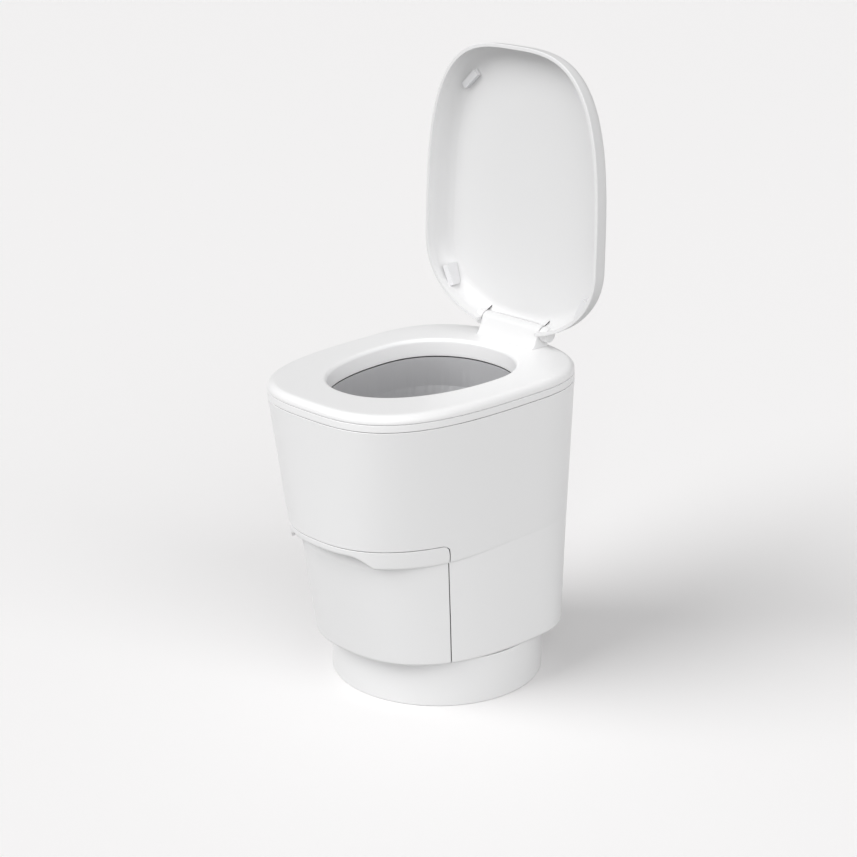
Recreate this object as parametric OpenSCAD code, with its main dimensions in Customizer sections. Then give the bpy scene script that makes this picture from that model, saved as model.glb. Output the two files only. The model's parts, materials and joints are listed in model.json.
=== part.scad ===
// Waterless sealing toilet on a round swivel plinth.
// Millimetres, +Z up, the front faces -Y. The origin is on the floor, on the swivel axis.

/* [Body] */
// Width of the body at the collar
body_w = 370; // [350:1:400]
// From the swivel axis forward to the front of the collar
front_reach = 275; // [265:1:290]
// From the swivel axis back to the rear of the collar
rear_reach = 203; // [199:1:215]
// Height of the seam under the collar
collar_z = 485; // [480:1:510]
// Height of the collar ring
collar_h = 12; // [10:0.5:16]
// Height of the body's lower edge above the floor
body_z = 80; // [76:1:84]
// Wall of the moulded shells
wall = 3; // [2.5:0.25:3.5]
// How far the front draws in between the collar and the flap's top seam
front_taper = 16.5; // [12:0.5:22]
// How far each side draws in over the same height
side_taper = 9; // [5:1:12]
// Height of the shelf over the recessed lower front
shelf_z = 256; // [252:1:262]
// Depth of the shelf at the front
shelf_depth = 25; // [18:1:28]
// How far the lower front draws in from the shelf to the lower edge
lower_taper = 31.5; // [24:0.5:36]
// Radius of the body's lower edge
lower_edge_r = 5; // [3:0.5:6]
// Radius of the shelf's front edge
shelf_edge_r = 5; // [3:0.5:7]
// Width of the lip turned in under the body
lip_w = 20; // [18:1:24]

/* [Compartment] */
// Height of the flap's top seam
flap_top_z = 286; // [280:1:292]
// From the swivel axis forward to the lower ends of the flap's side seams
flap_side = 115; // [113:1:122]
// Lean of the flap's side seams, in degrees
flap_lean = 4; // [2:0.5:6]
// Radius of the flap's upper corners
flap_corner_r = 12; // [8:1:16]
// Seam between the flap and the shell
seam = 1.2; // [1:0.1:1.6]
// Half width of the finger recess
grip_half_w = 94; // [80:1:100]
// Height of the top of the finger recess
grip_z = 275; // [270:1:277]
// How far the finger recess scoops in behind the lower wall
grip_scoop = 12; // [6:1:14]
// How far the compartment pulls out
drawer_travel = 320; // [300:1:330]
// Gap between the waste bin and the tray's sides
bin_side = 6.5; // [4:0.5:12]
// Room for fingers behind the waste bin
bin_room = 10; // [8:1:30]
// Height of the waste bin
bin_h = 130; // [100:1:134]
// Wall of the waste bin
bin_wall = 2.5; // [2:0.25:3]
// Gap between the tray's front corners and the flap
tray_gap = 2.8; // [2:0.2:8]
// From the swivel axis back to the rear of the tray
tray_rear = 58; // [50:1:60]

/* [Plinth] */
// How far the plinth stands in under the body's sides
plinth_in = 14; // [11:1:20]
// Wall of the plinth
plinth_wall = 4; // [3:0.5:5]
// Height of the plinth's deck
deck_z = 56; // [52:1:58]
// Thickness of the plinth's deck
deck_t = 6; // [5:0.5:7]
// Width of the plinth's floor flange
flange_w = 47; // [38:1:56]
// Thickness of the floor flange
flange_t = 5; // [4:0.5:6]
// From the plinth's outside in to the floor screws
floor_in = 26; // [22:1:30]
// Number of floor screws
floor_screws = 4; // [3:1:6]
// Radius of a floor screw hole
floor_hole_r = 3.25; // [2.5:0.25:4]
// Height of the slide ring
slide_h = 3; // [2:0.5:4]
// Thickness of the turntable
turntable_t = 6; // [5:0.5:7]
// Radius of the turntable's hub
hub_r = 20; // [16:1:24]

/* [Seat] */
// Thickness of the seat ring
seat_t = 13.6; // [12:0.2:16]
// Half width of the seat opening
open_half_w = 119; // [110:1:122]
// From the swivel axis forward to the front of the opening
open_front = 200; // [190:1:204]
// From the swivel axis back to the rear of the opening
open_rear = 119; // [110:1:121]
// Depth of the skirt from the top of the seat down
skirt_h = 29; // [26:0.5:32]
// Radius of the seat's outer upper edge
seat_edge = 11; // [8:1:13]
// From the swivel axis back to the seat's tilt axis
tilt_y = 197; // [196:1:198]
// Height of the tilt axis above the collar
tilt_rise = 7; // [6.5:0.25:7.5]
// Radius of the tilt pins
tilt_pin_r = 2; // [1.5:0.25:2.5]

/* [Lid] */
// From the swivel axis back to the lid's hinge axis
hinge_y = 176; // [173:1:178]
// Height of the lid's hinge axis above the seat
hinge_rise = 22.5; // [22:0.5:28]
// Half length of the hinge block
block_half_w = 62; // [56:1:68]
// Radius of the hinge block's barrel
barrel_r = 13; // [12:0.5:13.5]
// How far the lid opens
lid_open = 91; // [88:1:94]
// Depth of the lid from rim to crown
lid_h = 41; // [38:1:46]
// From the swivel axis back to the lid's rear end
lid_rear = 184; // [180:1:187]
// Gap under the lid's rim when closed
lid_gap = 0.6; // [0.5:0.1:1]
// Thickness of the lid's rim
lid_rim = 6; // [4:0.5:8]
// Length of a pad in the lid
pad_l = 36; // [28:1:42]
// Width of a pad in the lid
pad_w = 11; // [8:0.5:14]
// Height of a front pad in the lid
pad_h = 10; // [6:0.5:12]
// Height of a rear pad in the lid
rear_pad_h = 24; // [18:0.5:28]
// Radius of the lid's hinge pins
lid_pin_r = 4; // [3:0.5:5]
// Radius of the damper barrels
damper_r = 8; // [7:0.5:9]

/* [Liner] */
// Height of the liner cassette
cassette_h = 44; // [36:1:50]
// Width of the cassette's ring
cassette_w = 29; // [22:1:30]
// Height of the funnel's throat above the jaws
throat_rise = 14; // [10:1:20]
// Half width of the throat
throat_half_w = 90; // [84:1:92]
// Thickness of the lining film as it hangs folded
film_t = 1.6; // [1.2:0.2:2]

/* [Welder and feed] */
// Height of the jaws' centre
jaw_z = 302; // [300:1:306]
// Height of the jaws
jaw_h = 28; // [24:1:30]
// How far the moving jaw travels
jaw_travel = 29.7; // [24:0.1:30]
// Radius of the guide rods
rod_r = 5; // [4:0.5:6]
// Half distance between the guide rods
rod_half = 108; // [104:1:110]
// Height of the feed rollers' centres
roller_z = 262; // [260:1:264]
// Outer radius of the roller sleeves
sleeve_r = 9; // [8:0.25:9.5]
// Radius of the roller shafts
shaft_r = 4; // [3:0.5:5]
// Teeth on each feed gear
gear_teeth = 20; // [16:1:24]
// Radius of the spindle
spindle_r = 5; // [4:0.5:6]
// Radius of the spindle's pulley
spindle_pulley_r = 18; // [16:1:20]
// Radius of the motor's pulley
motor_pulley_r = 12; // [10:1:14]
// Radius of the motors
motor_r = 17; // [15:0.5:18]
// Gap between the feed motor and the body's side
motor_gap = 11; // [6:1:14]

/* [Electrics] */
// Width of the control board
board_w = 140; // [100:5:160]
// Height of the control board
board_h = 110; // [80:5:130]
// Thickness of the control board
board_t = 1.6; // [1:0.2:2]
// Gap between the rear plate and the control board
board_gap = 12; // [8:1:16]
// Width of the cable window in the rear plate
cable_w = 90; // [60:5:110]

/* [Fits] */
// Radial clearance of a shaft that turns or slides in a hole
run_fit = 0.05; // [0.03:0.01:0.08]
// Gap between pieces that move past each other
clear = 0.3; // [0.25:0.05:0.4]

/* [Hidden] */
$fn = 48;
far = 800;
ring_points = 60;

// Colours
white = [0.95, 0.95, 0.95];
grey = [0.62, 0.62, 0.63];
dark = [0.25, 0.26, 0.28];
steel = [0.72, 0.73, 0.75];

// Heights, from the floor up
plinth_r = body_w / 2 - plinth_in;
flange_r = plinth_r - plinth_wall - flange_w;
floor_pcd = 2 * (plinth_r - floor_in);
slide_z = deck_z + deck_t;
turntable_z = slide_z + slide_h + clear;
turntable_top = turntable_z + turntable_t;
pan_z = body_z + wall;
pan_t = 4;
pan_top = pan_z + pan_t;
tray_z = pan_top + 5;
tray_t = 2.5;
bin_z = tray_z + tray_t;
collar_top = collar_z + collar_h;
seat_z = collar_top + 0.4;
seat_top = seat_z + seat_t;
tilt_z = collar_top + tilt_rise;
hinge_z = seat_top + hinge_rise;
rim_z = seat_top + lid_gap;
cassette_z = collar_z - 5 - cassette_h;
bucket_z = cassette_z - clear - wall;
throat_z = jaw_z + jaw_h / 2 + throat_rise;

// Plan of the insides
frame_t = 3;
frame_x = rod_half + rod_r + 14;
frame_front = 100;
frame_rear = 117;
frame_top = jaw_z + jaw_h / 2 + 6;
inside_x = frame_x - clear;
film_half_w = 92;
heater_t = 3;
pad_t = 3;
pad_y = film_t / 2 + clear;
jaw_t = 23;
jaw_y = -film_t / 2 - run_fit - jaw_travel;
beam_t = 6;
beam_y = -frame_front + 4;
pulley_w = 8;
pulley_y = beam_y - 7 - pulley_w;
nut_l = 24;
motor_x = 60;
roller_gap = 0.2;
roller_y = sleeve_r + film_t / 2 + roller_gap;
gear_x = frame_x - 15;
gear_w = 8;
rail_z = tray_z + 8;
rail_h = 25;
rail_l = frame_front + frame_rear - 3;

// Section of the body: [half width, front reach, rear reach, front roundness, rear roundness,
// how far behind the swivel axis it is widest]
top_section = [body_w / 2, front_reach, rear_reach, 3.1, 2.6, 30];
knee_section = [body_w / 2 - side_taper, front_reach - front_taper, rear_reach - 7.5, 2.5, 2.7, 32];
function mix(a, b, t) = a + (b - a) * t;
function shrink(s, d) = [s[0] - d, s[1] - d, s[2] - d, s[3], s[4], s[5]];
function upper(z) = mix(top_section, knee_section, (collar_z - z) / (collar_z - flap_top_z));
shelf_section = upper(shelf_z);
lower_top = [shelf_section[0], shelf_section[1] - shelf_depth, shelf_section[2],
    2.5, shelf_section[4], shelf_section[5]];
lower_end = [lower_top[0] + 2, lower_top[1] - lower_taper, lower_top[2] - 13, 2.5, 2.45, 55];
function lower(z) = mix(lower_top, lower_end, (shelf_z - z) / (shelf_z - body_z));
function front_at(s, x) = (s[1] + s[5]) * pow(1 - pow(x / s[0], s[3]), 1 / s[3]) - s[5];
function side_at(s, y) =
    let (front = y < s[5], reach = front ? s[1] + s[5] : s[2] - s[5], n = front ? s[3] : s[4])
    s[0] * pow(1 - pow(abs(y - s[5]) / reach, n), 1 / n);
tray_x = frame_x - 13;
tray_front = front_at(shrink(lower(tray_z), wall), tray_x) - tray_gap;
open_section = [open_half_w, open_front, open_rear, 2.2, 2.2, 0];
seat_section = top_section;
lid_section = [body_w / 2, front_reach, lid_rear, 3.2, 2.1, 55];

// Closed outline of a section: a front and a rear half of a rounded oval
function oval_point(s, a) =
    let (c = cos(a), n = sin(a) < 0 ? s[3] : s[4], reach = sin(a) < 0 ? s[1] + s[5] : s[2] - s[5])
    [s[0] * sign(c) * pow(abs(c), 2 / n), s[5] + reach * sign(sin(a)) * pow(abs(sin(a)), 2 / n)];
function oval(s) = [for (i = [0:ring_points - 1]) oval_point(s, 360 * i / ring_points)];
function lift(outline, z) = [for (p = outline) [p[0], p[1], z]];

// One solid slice for each pair of neighbouring levels, each level being [height, section]
module loft(levels) {
    for (i = [0:len(levels) - 2])
        hull() polyhedron(
            concat(lift(oval(levels[i][1]), levels[i][0]), lift(oval(levels[i + 1][1]), levels[i + 1][0])),
            [[for (k = [0:ring_points - 1]) k], [for (k = [0:ring_points - 1]) ring_points + k]]);
}
module plate(s, z0, z1) {
    translate([0, 0, z0]) linear_extrude(z1 - z0) polygon(oval(s));
}
module ring(outer, inner, z0, z1) {
    translate([0, 0, z0]) linear_extrude(z1 - z0) difference() {
        polygon(oval(outer));
        polygon(oval(inner));
    }
}
module block(x0, x1, y0, y1, z0, z1) {
    translate([x0, y0, z0]) cube([x1 - x0, y1 - y0, z1 - z0]);
}
module rod_x(y, z, x0, x1, r) {
    translate([x0, y, z]) rotate([0, 90, 0]) cylinder(h = x1 - x0, r = r);
}
module rod_y(x, z, y0, y1, r) {
    translate([x, y0, z]) rotate([-90, 0, 0]) cylinder(h = y1 - y0, r = r);
}
module rod_z(x, y, z0, z1, r) {
    translate([x, y, z0]) cylinder(h = z1 - z0, r = r);
}
module both_sides() {
    children();
    mirror([1, 0, 0]) children();
}

// Outside of the body, with its shelf, and the hollow inside it
outer_levels = [
    [body_z, shrink(lower(body_z), lower_edge_r * 0.7)],
    [body_z + lower_edge_r * 0.3, shrink(lower(body_z), lower_edge_r * 0.25)],
    [body_z + lower_edge_r, lower(body_z + lower_edge_r)],
    [mix(body_z, shelf_z, 0.35), lower(mix(body_z, shelf_z, 0.35))],
    [mix(body_z, shelf_z, 0.7), lower(mix(body_z, shelf_z, 0.7))],
    [shelf_z - 3, lower(shelf_z - 3)],
    [shelf_z, mix(lower(shelf_z), shelf_section, 0.8)],
    [shelf_z + shelf_edge_r * 0.3, mix(lower(shelf_z), shelf_section, 0.95)],
    [shelf_z + shelf_edge_r, upper(shelf_z + shelf_edge_r)],
    [flap_top_z, upper(flap_top_z)],
    [mix(flap_top_z, collar_z, 0.25), upper(mix(flap_top_z, collar_z, 0.25))],
    [mix(flap_top_z, collar_z, 0.5), upper(mix(flap_top_z, collar_z, 0.5))],
    [mix(flap_top_z, collar_z, 0.75), upper(mix(flap_top_z, collar_z, 0.75))],
    [collar_z, top_section]
];
module hollow() {
    loft([
        [pan_z, shrink(lower(pan_z), wall)],
        [mix(body_z, shelf_z, 0.5), shrink(lower(mix(body_z, shelf_z, 0.5)), wall)],
        [shelf_z, shrink(lower(shelf_z), wall)],
        [shelf_z + 2 + wall, shrink(upper(shelf_z + 2 + wall), wall + 1)],
        [flap_top_z, shrink(upper(flap_top_z), wall)],
        [mix(flap_top_z, collar_z, 0.33), shrink(upper(mix(flap_top_z, collar_z, 0.33)), wall)],
        [mix(flap_top_z, collar_z, 0.67), shrink(upper(mix(flap_top_z, collar_z, 0.67)), wall)],
        [collar_z, shrink(top_section, wall)]
    ]);
}
// The part of the body that is flap, seen from the side, with its rounded upper corner
function seam_y(z) = -flap_side - (z - body_z) * tan(flap_lean);
module compartment(grow) {
    translate([-far / 2, 0, 0]) rotate([90, 0, 90]) linear_extrude(far)
        offset(flap_corner_r) offset(delta = grow - flap_corner_r)
            polygon([[-far, 0], [seam_y(0), 0], [seam_y(flap_top_z), flap_top_z], [-far, flap_top_z]]);
}

// The plinth and what turns on it
module screw_places() {
    for (i = [0:floor_screws - 1]) rotate([0, 0, 45 + 360 * i / floor_screws]) translate([floor_pcd / 2, 0, 0])
        children();
}
module floor_plinth() {
    color(white) difference() {
        rod_z(0, 0, 0, body_z - 2, plinth_r);
        rod_z(0, 0, -1, body_z, plinth_r - plinth_wall);
    }
}
module plinth_flange() {
    color(white) difference() {
        rod_z(0, 0, 0, flange_t, plinth_r - plinth_wall);
        rod_z(0, 0, -1, flange_t + 1, flange_r);
        screw_places() rod_z(0, 0, -1, flange_t + 1, floor_hole_r);
    }
}
module plinth_deck() {
    color(white) difference() {
        rod_z(0, 0, deck_z, slide_z, plinth_r - plinth_wall);
        rod_z(0, 0, deck_z - 1, slide_z + 1, hub_r + run_fit);
        screw_places() rod_z(0, 0, deck_z - 1, slide_z + 1, floor_hole_r * 3);
    }
}
slide_outer = flap_side - 4;
module slide_ring() {
    color(grey) difference() {
        rod_z(0, 0, slide_z, slide_z + slide_h, slide_outer + 14);
        rod_z(0, 0, slide_z - 1, slide_z + slide_h + 1, slide_outer - 8);
    }
}
bolt_r = 5;
washer_t = 3;
hub_end = deck_z - clear;
module turntable() {
    color(steel) difference() {
        union() {
            rod_z(0, 0, turntable_z, turntable_top, plinth_r - plinth_wall - 3);
            rod_z(0, 0, hub_end, turntable_z, hub_r);
            difference() {
                rod_z(0, 0, turntable_top, pan_z, slide_outer);
                rod_z(0, 0, turntable_top - 1, pan_z + 1, slide_outer - 25);
            }
        }
        rod_z(0, 0, hub_end - 1, turntable_top + 1, bolt_r + run_fit);
    }
}
module swivel_bolt() {
    color(steel) {
        rod_z(0, 0, hub_end - washer_t - 6, turntable_top, bolt_r);
        rod_z(0, 0, hub_end - washer_t, hub_end, hub_r + 10);
        rod_z(0, 0, hub_end - washer_t - 6, hub_end - washer_t, bolt_r * 1.7, $fn = 6);
    }
}

// The chassis
screw_y = 50;
module shell_screw_places() {
    for (y = [-screw_y, screw_y]) both_sides() translate([side_at(shrink(lower(body_z), lip_w / 2), y), y, 0])
        children();
}
module floor_pan() {
    color(steel) difference() {
        intersection() {
            plate(shrink(lower(pan_z), wall + clear), pan_z, pan_top);
            block(-far, far, -flap_side + 4, far, 0, far);
        }
        shell_screw_places() rod_z(0, 0, pan_z - 1, pan_top + 1, 2 + run_fit);
    }
}
inlet_z = 112;
inlet_r = 9;
inlet_y = lower(inlet_z)[2];
module main_shell() {
    color(white) difference() {
        loft(outer_levels);
        difference() {
            hollow();
            block(-far, far, -far, seam_y(flap_top_z), 0, flap_top_z + seam / 2 + wall);
        }
        plate(shrink(lower(body_z), lip_w), body_z - 1, pan_z + 1);
        compartment(seam / 2);
        rod_y(0, inlet_z, inlet_y - 20, inlet_y + 20, inlet_r + clear);
        shell_screw_places() {
            rod_z(0, 0, body_z - 1, pan_z + 1, 2.3);
            rod_z(0, 0, body_z - 1, body_z + 2, 4.3);
        }
    }
}
module shell_screws() {
    color(steel) shell_screw_places() {
        rod_z(0, 0, body_z, body_z + 2, 4);
        rod_z(0, 0, body_z, pan_top + 3, 2);
    }
}
seam_step = 1;
collar_inner = shrink(open_section, -cassette_w - 3);
ear_x = 32;
ear_w = 12;
ear_r = tilt_rise - 1.5;
module collar() {
    color(white) {
        ring(top_section, collar_inner, collar_z + seam_step, collar_top);
        ring(shrink(top_section, 2), collar_inner, collar_z, collar_z + seam_step);
        both_sides() difference() {
            union() {
                rod_x(tilt_y, tilt_z, ear_x, ear_x + ear_w, ear_r);
                block(ear_x, ear_x + ear_w, tilt_y - ear_r, tilt_y + ear_r, collar_top - 1, tilt_z);
            }
            rod_x(tilt_y, tilt_z, ear_x - 1, ear_x + ear_w + 1, tilt_pin_r + run_fit);
        }
    }
}
module side_frame() {
    difference() {
        block(frame_x, frame_x + frame_t, -frame_front, frame_rear, pan_top, frame_top);
        for (y = [-roller_y, roller_y])
            rod_x(y, roller_z, frame_x - 1, frame_x + frame_t + 1, shaft_r + run_fit);
        for (y = [-60, 25]) block(frame_x - 1, frame_x + frame_t + 1, y, y + 65, rail_z + rail_h + 20, roller_z - 40);
    }
}
module left_frame() {
    color(steel) mirror([1, 0, 0]) side_frame();
}
module right_frame() {
    color(steel) side_frame();
}
module rear_plate() {
    color(steel) difference() {
        block(-frame_x, frame_x, frame_rear - frame_t, frame_rear, pan_top, frame_top);
        block(-cable_w / 2, cable_w / 2, frame_rear - frame_t - 1, frame_rear + 1, pan_top + 20, pan_top + 45);
    }
}
bearing_r = spindle_r + 4;
module front_beam() {
    color(steel) difference() {
        block(-frame_x, frame_x, beam_y, beam_y + beam_t, roller_z - motor_r - 4, frame_top);
        rod_y(0, jaw_z, beam_y - 1, beam_y + beam_t + 1, bearing_r);
        rod_y(motor_x, roller_z, beam_y - 1, beam_y + beam_t + 1, 3 + run_fit);
        for (x = [-rod_half, rod_half]) rod_y(x, jaw_z, beam_y - 1, beam_y + beam_t + 1, rod_r);
    }
}

// The lining: a bucket that carries the cassette and runs down to the throat
throat_section = [throat_half_w, 44, 32, 2.4, 2.4, 0];
film_gap = 1;
funnel_levels = [
    [throat_z, throat_section],
    [mix(throat_z, bucket_z, 0.3), mix(throat_section, open_section, 0.42)],
    [mix(throat_z, bucket_z, 0.65), mix(throat_section, open_section, 0.78)],
    [bucket_z, open_section]
];
function inside(levels, d) = [for (l = levels) [l[0], shrink(l[1], d)]];
film_flat = [film_half_w, film_t / 2, film_t / 2, 3, 3, 0];
cassette_outer = shrink(open_section, -cassette_w - 2);
bucket_outer = shrink(cassette_outer, -clear - wall);
module cassette_bucket() {
    color(grey) difference() {
        union() {
            plate(bucket_outer, bucket_z, collar_z);
            loft(inside(funnel_levels, -wall));
        }
        plate(shrink(bucket_outer, wall), bucket_z + wall, collar_z + 1);
        loft(concat([[throat_z - 1, throat_section]], funnel_levels, [[bucket_z + wall + 1, open_section]]));
    }
}
cassette_wall = 1.5;
module liner_cassette() {
    color(grey) difference() {
        ring(cassette_outer, shrink(open_section, -1), cassette_z, cassette_z + cassette_h);
        ring(shrink(cassette_outer, cassette_wall), shrink(open_section, -1 - cassette_wall),
            cassette_z + cassette_wall, cassette_z + cassette_h + 1);
    }
}
module film_pack() {
    color([0.8, 0.8, 0.82]) ring(shrink(cassette_outer, cassette_wall), shrink(open_section, -1 - cassette_wall),
        cassette_z + cassette_wall, cassette_z + cassette_h - 4);
}
film_wall = 1;
film_end = roller_z - sleeve_r - 14;
jaw_top = jaw_z + jaw_h / 2;
film_levels = concat(inside(funnel_levels, film_gap), [[cassette_z + cassette_h, shrink(open_section, -1)]]);
module liner_film() {
    color([0.6, 0.6, 0.62]) difference() {
        loft(concat([[film_end, film_flat], [jaw_top + 1, film_flat]], film_levels));
        loft(concat([[jaw_top + 3, [film_half_w - 4, 0.2, 0.2, 3, 3, 0]]], inside(film_levels, film_wall),
            [[cassette_z + cassette_h + 1, shrink(open_section, -1 + film_wall)]]));
    }
}

// The welder: two jaws on guide rods, driven by a spindle
module fixed_jaw() {
    color(steel) difference() {
        block(-frame_x, frame_x, pad_y + pad_t, pad_y + pad_t + jaw_t, jaw_z - jaw_h / 2, jaw_z + jaw_h / 2);
        for (x = [-rod_half, rod_half])
            rod_y(x, jaw_z, pad_y, pad_y + pad_t + jaw_t + 1, rod_r);
    }
}
module counter_pad() {
    color([0.75, 0.3, 0.25]) block(-film_half_w - 3, film_half_w + 3, pad_y, pad_y + pad_t, jaw_z - 6, jaw_z + 6);
}
module guide_rods() {
    color(steel) for (x = [-rod_half, rod_half]) rod_y(x, jaw_z, beam_y, pad_y + pad_t + jaw_t, rod_r);
}
module moving_jaw() {
    color(steel) difference() {
        block(-frame_x + 4, frame_x - 4, jaw_y - heater_t - jaw_t, jaw_y - heater_t,
            jaw_z - jaw_h / 2, jaw_z + jaw_h / 2);
        for (x = [-rod_half, rod_half])
            rod_y(x, jaw_z, jaw_y - heater_t - jaw_t - 1, jaw_y, rod_r + run_fit);
        rod_y(0, jaw_z, jaw_y - heater_t - jaw_t - 1, jaw_y - heater_t - 3, spindle_r + 1);
    }
}
module heater_bar() {
    color([0.55, 0.5, 0.45]) block(-film_half_w - 3, film_half_w + 3, jaw_y - heater_t, jaw_y, jaw_z - 5, jaw_z + 5);
}
nut_y = jaw_y - heater_t - jaw_t - nut_l;
module jaw_nut() {
    color([0.8, 0.65, 0.3]) difference() {
        rod_y(0, jaw_z, nut_y, nut_y + nut_l, spindle_r + 6);
        rod_y(0, jaw_z, nut_y - 1, nut_y + nut_l + 1, spindle_r + run_fit);
    }
}
module spindle() {
    color(steel) rod_y(0, jaw_z, pulley_y, jaw_y - heater_t - 4, spindle_r);
}
module spindle_bearing() {
    color(steel) difference() {
        rod_y(0, jaw_z, beam_y, beam_y + beam_t, bearing_r);
        rod_y(0, jaw_z, beam_y - 1, beam_y + beam_t + 1, spindle_r + run_fit);
    }
}
module spindle_pulley() {
    color(dark) difference() {
        union() {
            rod_y(0, jaw_z, pulley_y, pulley_y + pulley_w, spindle_pulley_r);
            rod_y(0, jaw_z, pulley_y, beam_y - clear, spindle_r + 3);
        }
        rod_y(0, jaw_z, pulley_y - 1, beam_y, spindle_r);
    }
}
module motor_pulley() {
    color(dark) {
        rod_y(motor_x, roller_z, pulley_y, pulley_y + pulley_w, motor_pulley_r);
        rod_y(motor_x, roller_z, pulley_y + pulley_w, beam_y + beam_t - clear, 3);
    }
}
module pulley_line(grow) {
    hull() {
        translate([0, -jaw_z]) circle(spindle_pulley_r + grow);
        translate([motor_x, -roller_z]) circle(motor_pulley_r + grow);
    }
}
belt_t = 1.5;
module drive_belt() {
    color(dark) translate([0, pulley_y + 1, 0]) rotate([-90, 0, 0]) linear_extrude(pulley_w - 2) difference() {
        pulley_line(clear + belt_t);
        pulley_line(clear);
    }
}
module jaw_motor() {
    color(dark) rod_y(motor_x, roller_z, beam_y + beam_t, beam_y + beam_t + 42, motor_r);
}

// The feed: two rubber rollers geared together
module roller_shaft(y, side) {
    color(steel) rod_x(y, roller_z, -frame_x - frame_t - side, frame_x + frame_t - 1 + side, shaft_r);
}
module roller_sleeve(y) {
    color(dark) difference() {
        rod_x(y, roller_z, -film_half_w - 10, film_half_w + 10, sleeve_r);
        rod_x(y, roller_z, -film_half_w - 11, film_half_w + 11, shaft_r);
    }
}
gear_pitch_r = roller_y;
gear_module = 2 * gear_pitch_r / gear_teeth;
function gear_outline() = [for (i = [0:gear_teeth - 1], k = [0:3])
    let (tooth = 360 / gear_teeth, step = [-0.30, -0.13, 0.13, 0.30][k],
         r = gear_pitch_r + gear_module * [-1.15, 0.85, 0.85, -1.15][k])
    [r * cos((i + step) * tooth), r * sin((i + step) * tooth)]];
module roller_gear(y, turn) {
    color(grey) difference() {
        translate([gear_x, y, roller_z]) rotate([90, 0, 90]) rotate([0, 0, turn])
            linear_extrude(gear_w) polygon(gear_outline());
        rod_x(y, roller_z, gear_x - 1, gear_x + gear_w + 1, shaft_r);
    }
}
module feed_shaft() {
    roller_shaft(-roller_y, 0);
}
module feed_sleeve() {
    roller_sleeve(-roller_y);
}
module feed_gear() {
    roller_gear(-roller_y, 0);
}
module idler_shaft() {
    roller_shaft(roller_y, 0);
}
module idler_sleeve() {
    roller_sleeve(roller_y);
}
module idler_gear() {
    roller_gear(roller_y, gear_teeth % 2 == 0 ? 180 / gear_teeth : 0);
}
module feed_motor() {
    color(dark) rod_x(-roller_y, roller_z, frame_x + frame_t, knee_section[0] - wall - motor_gap, motor_r);
}

// The electrics at the rear
board_y = frame_rear + board_gap;
board_face = board_y + board_t;
board_z = (pan_top + frame_top) / 2;
board_in = 8;
module control_board() {
    color([0.1, 0.35, 0.2])
        block(-board_w / 2, board_w / 2, board_y, board_face, board_z - board_h / 2, board_z + board_h / 2);
    color(dark) {
        block(-board_w * 0.43, -board_w * 0.18, board_face, board_face + 14, board_z - board_h * 0.36, board_z);
        block(board_w * 0.04, board_w * 0.32, board_face, board_face + 8,
            board_z + board_h * 0.1, board_z + board_h * 0.36);
        for (x = [-0.04, 0.08, 0.2]) rod_y(board_w * x, board_z - board_h * 0.23, board_face, board_face + 16, 6);
    }
}
module board_standoffs() {
    color(steel) for (x = [-1, 1], z = [-1, 1])
        rod_y(x * (board_w / 2 - board_in), board_z + z * (board_h / 2 - board_in), frame_rear, board_y, 4);
}
module power_inlet() {
    color(dark) difference() {
        union() {
            rod_y(0, inlet_z, inlet_y - 22, inlet_y + 1, inlet_r);
            rod_y(0, inlet_z, inlet_y + 1, inlet_y + 4, inlet_r + 4);
        }
        rod_y(0, inlet_z, inlet_y - 12, inlet_y + 5, 6.5);
    }
    color(steel) rod_y(0, inlet_z, inlet_y - 12, inlet_y, 1.2);
}
module lid_switch() {
    color(dark) block(-12, 12, rear_reach - 41, rear_reach - 31, collar_z - 8, collar_z);
}

// The pull-out compartment on two telescopic rails
module rail(x0, x1, z_in, y0, y1) {
    block(x1 - 1.5, x1, y0, y1, rail_z + z_in, rail_z + rail_h - z_in);
    block(x0, x1, y0, y1, rail_z + z_in, rail_z + z_in + 1.5);
    block(x0, x1, y0, y1, rail_z + rail_h - z_in - 1.5, rail_z + rail_h - z_in);
}
module outer_rails() {
    color(steel) both_sides() rail(frame_x - 8, frame_x, 0, -frame_front, -frame_front + rail_l);
}
module middle_rails() {
    color(steel) both_sides()
        rail(frame_x - 8, frame_x - 1.5 - clear, 1.5 + clear, -frame_front, -frame_front + rail_l);
}
module inner_rails() {
    color(steel) both_sides()
        block(tray_x, frame_x - 3 - 3 * clear, -frame_front - 10, frame_rear - 9, rail_z + 4, rail_z + rail_h - 4);
}
module drawer_tray() {
    color(grey) difference() {
        block(-tray_x, tray_x, -tray_front, tray_rear, tray_z, rail_z + rail_h + 12);
        block(-tray_x + tray_t, tray_x - tray_t, -tray_front + tray_t, tray_rear - tray_t, bin_z, far);
        both_sides() rod_y(flap_rib_x, flap_screw_z, -tray_front - 1, -tray_front + tray_t + 1, 2 + run_fit);
    }
}
bin_y = -tray_front + tray_t + 1;
bin_l = tray_rear - tray_t - bin_room - bin_y;
bin_w = 2 * (tray_x - tray_t - bin_side);
module waste_bin() {
    color(dark) difference() {
        bin_block(0, bin_z, bin_z + bin_h);
        bin_block(bin_wall, bin_z + bin_wall, bin_z + bin_h + 1);
    }
}
module bin_block(inset, z0, z1) {
    corner = 14 - inset;
    x = bin_w / 2 - inset;
    y0 = bin_y + inset;
    y1 = bin_y + bin_l - inset;
    block(-x + corner, x - corner, y0, y1, z0, z1);
    block(-x, x, y0 + corner, y1 - corner, z0, z1);
    for (cx = [-x + corner, x - corner], cy = [y0 + corner, y1 - corner]) rod_z(cx, cy, z0, z1, corner);
}
flap_rib_x = 70;
flap_screw_z = rail_z + rail_h;
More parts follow.
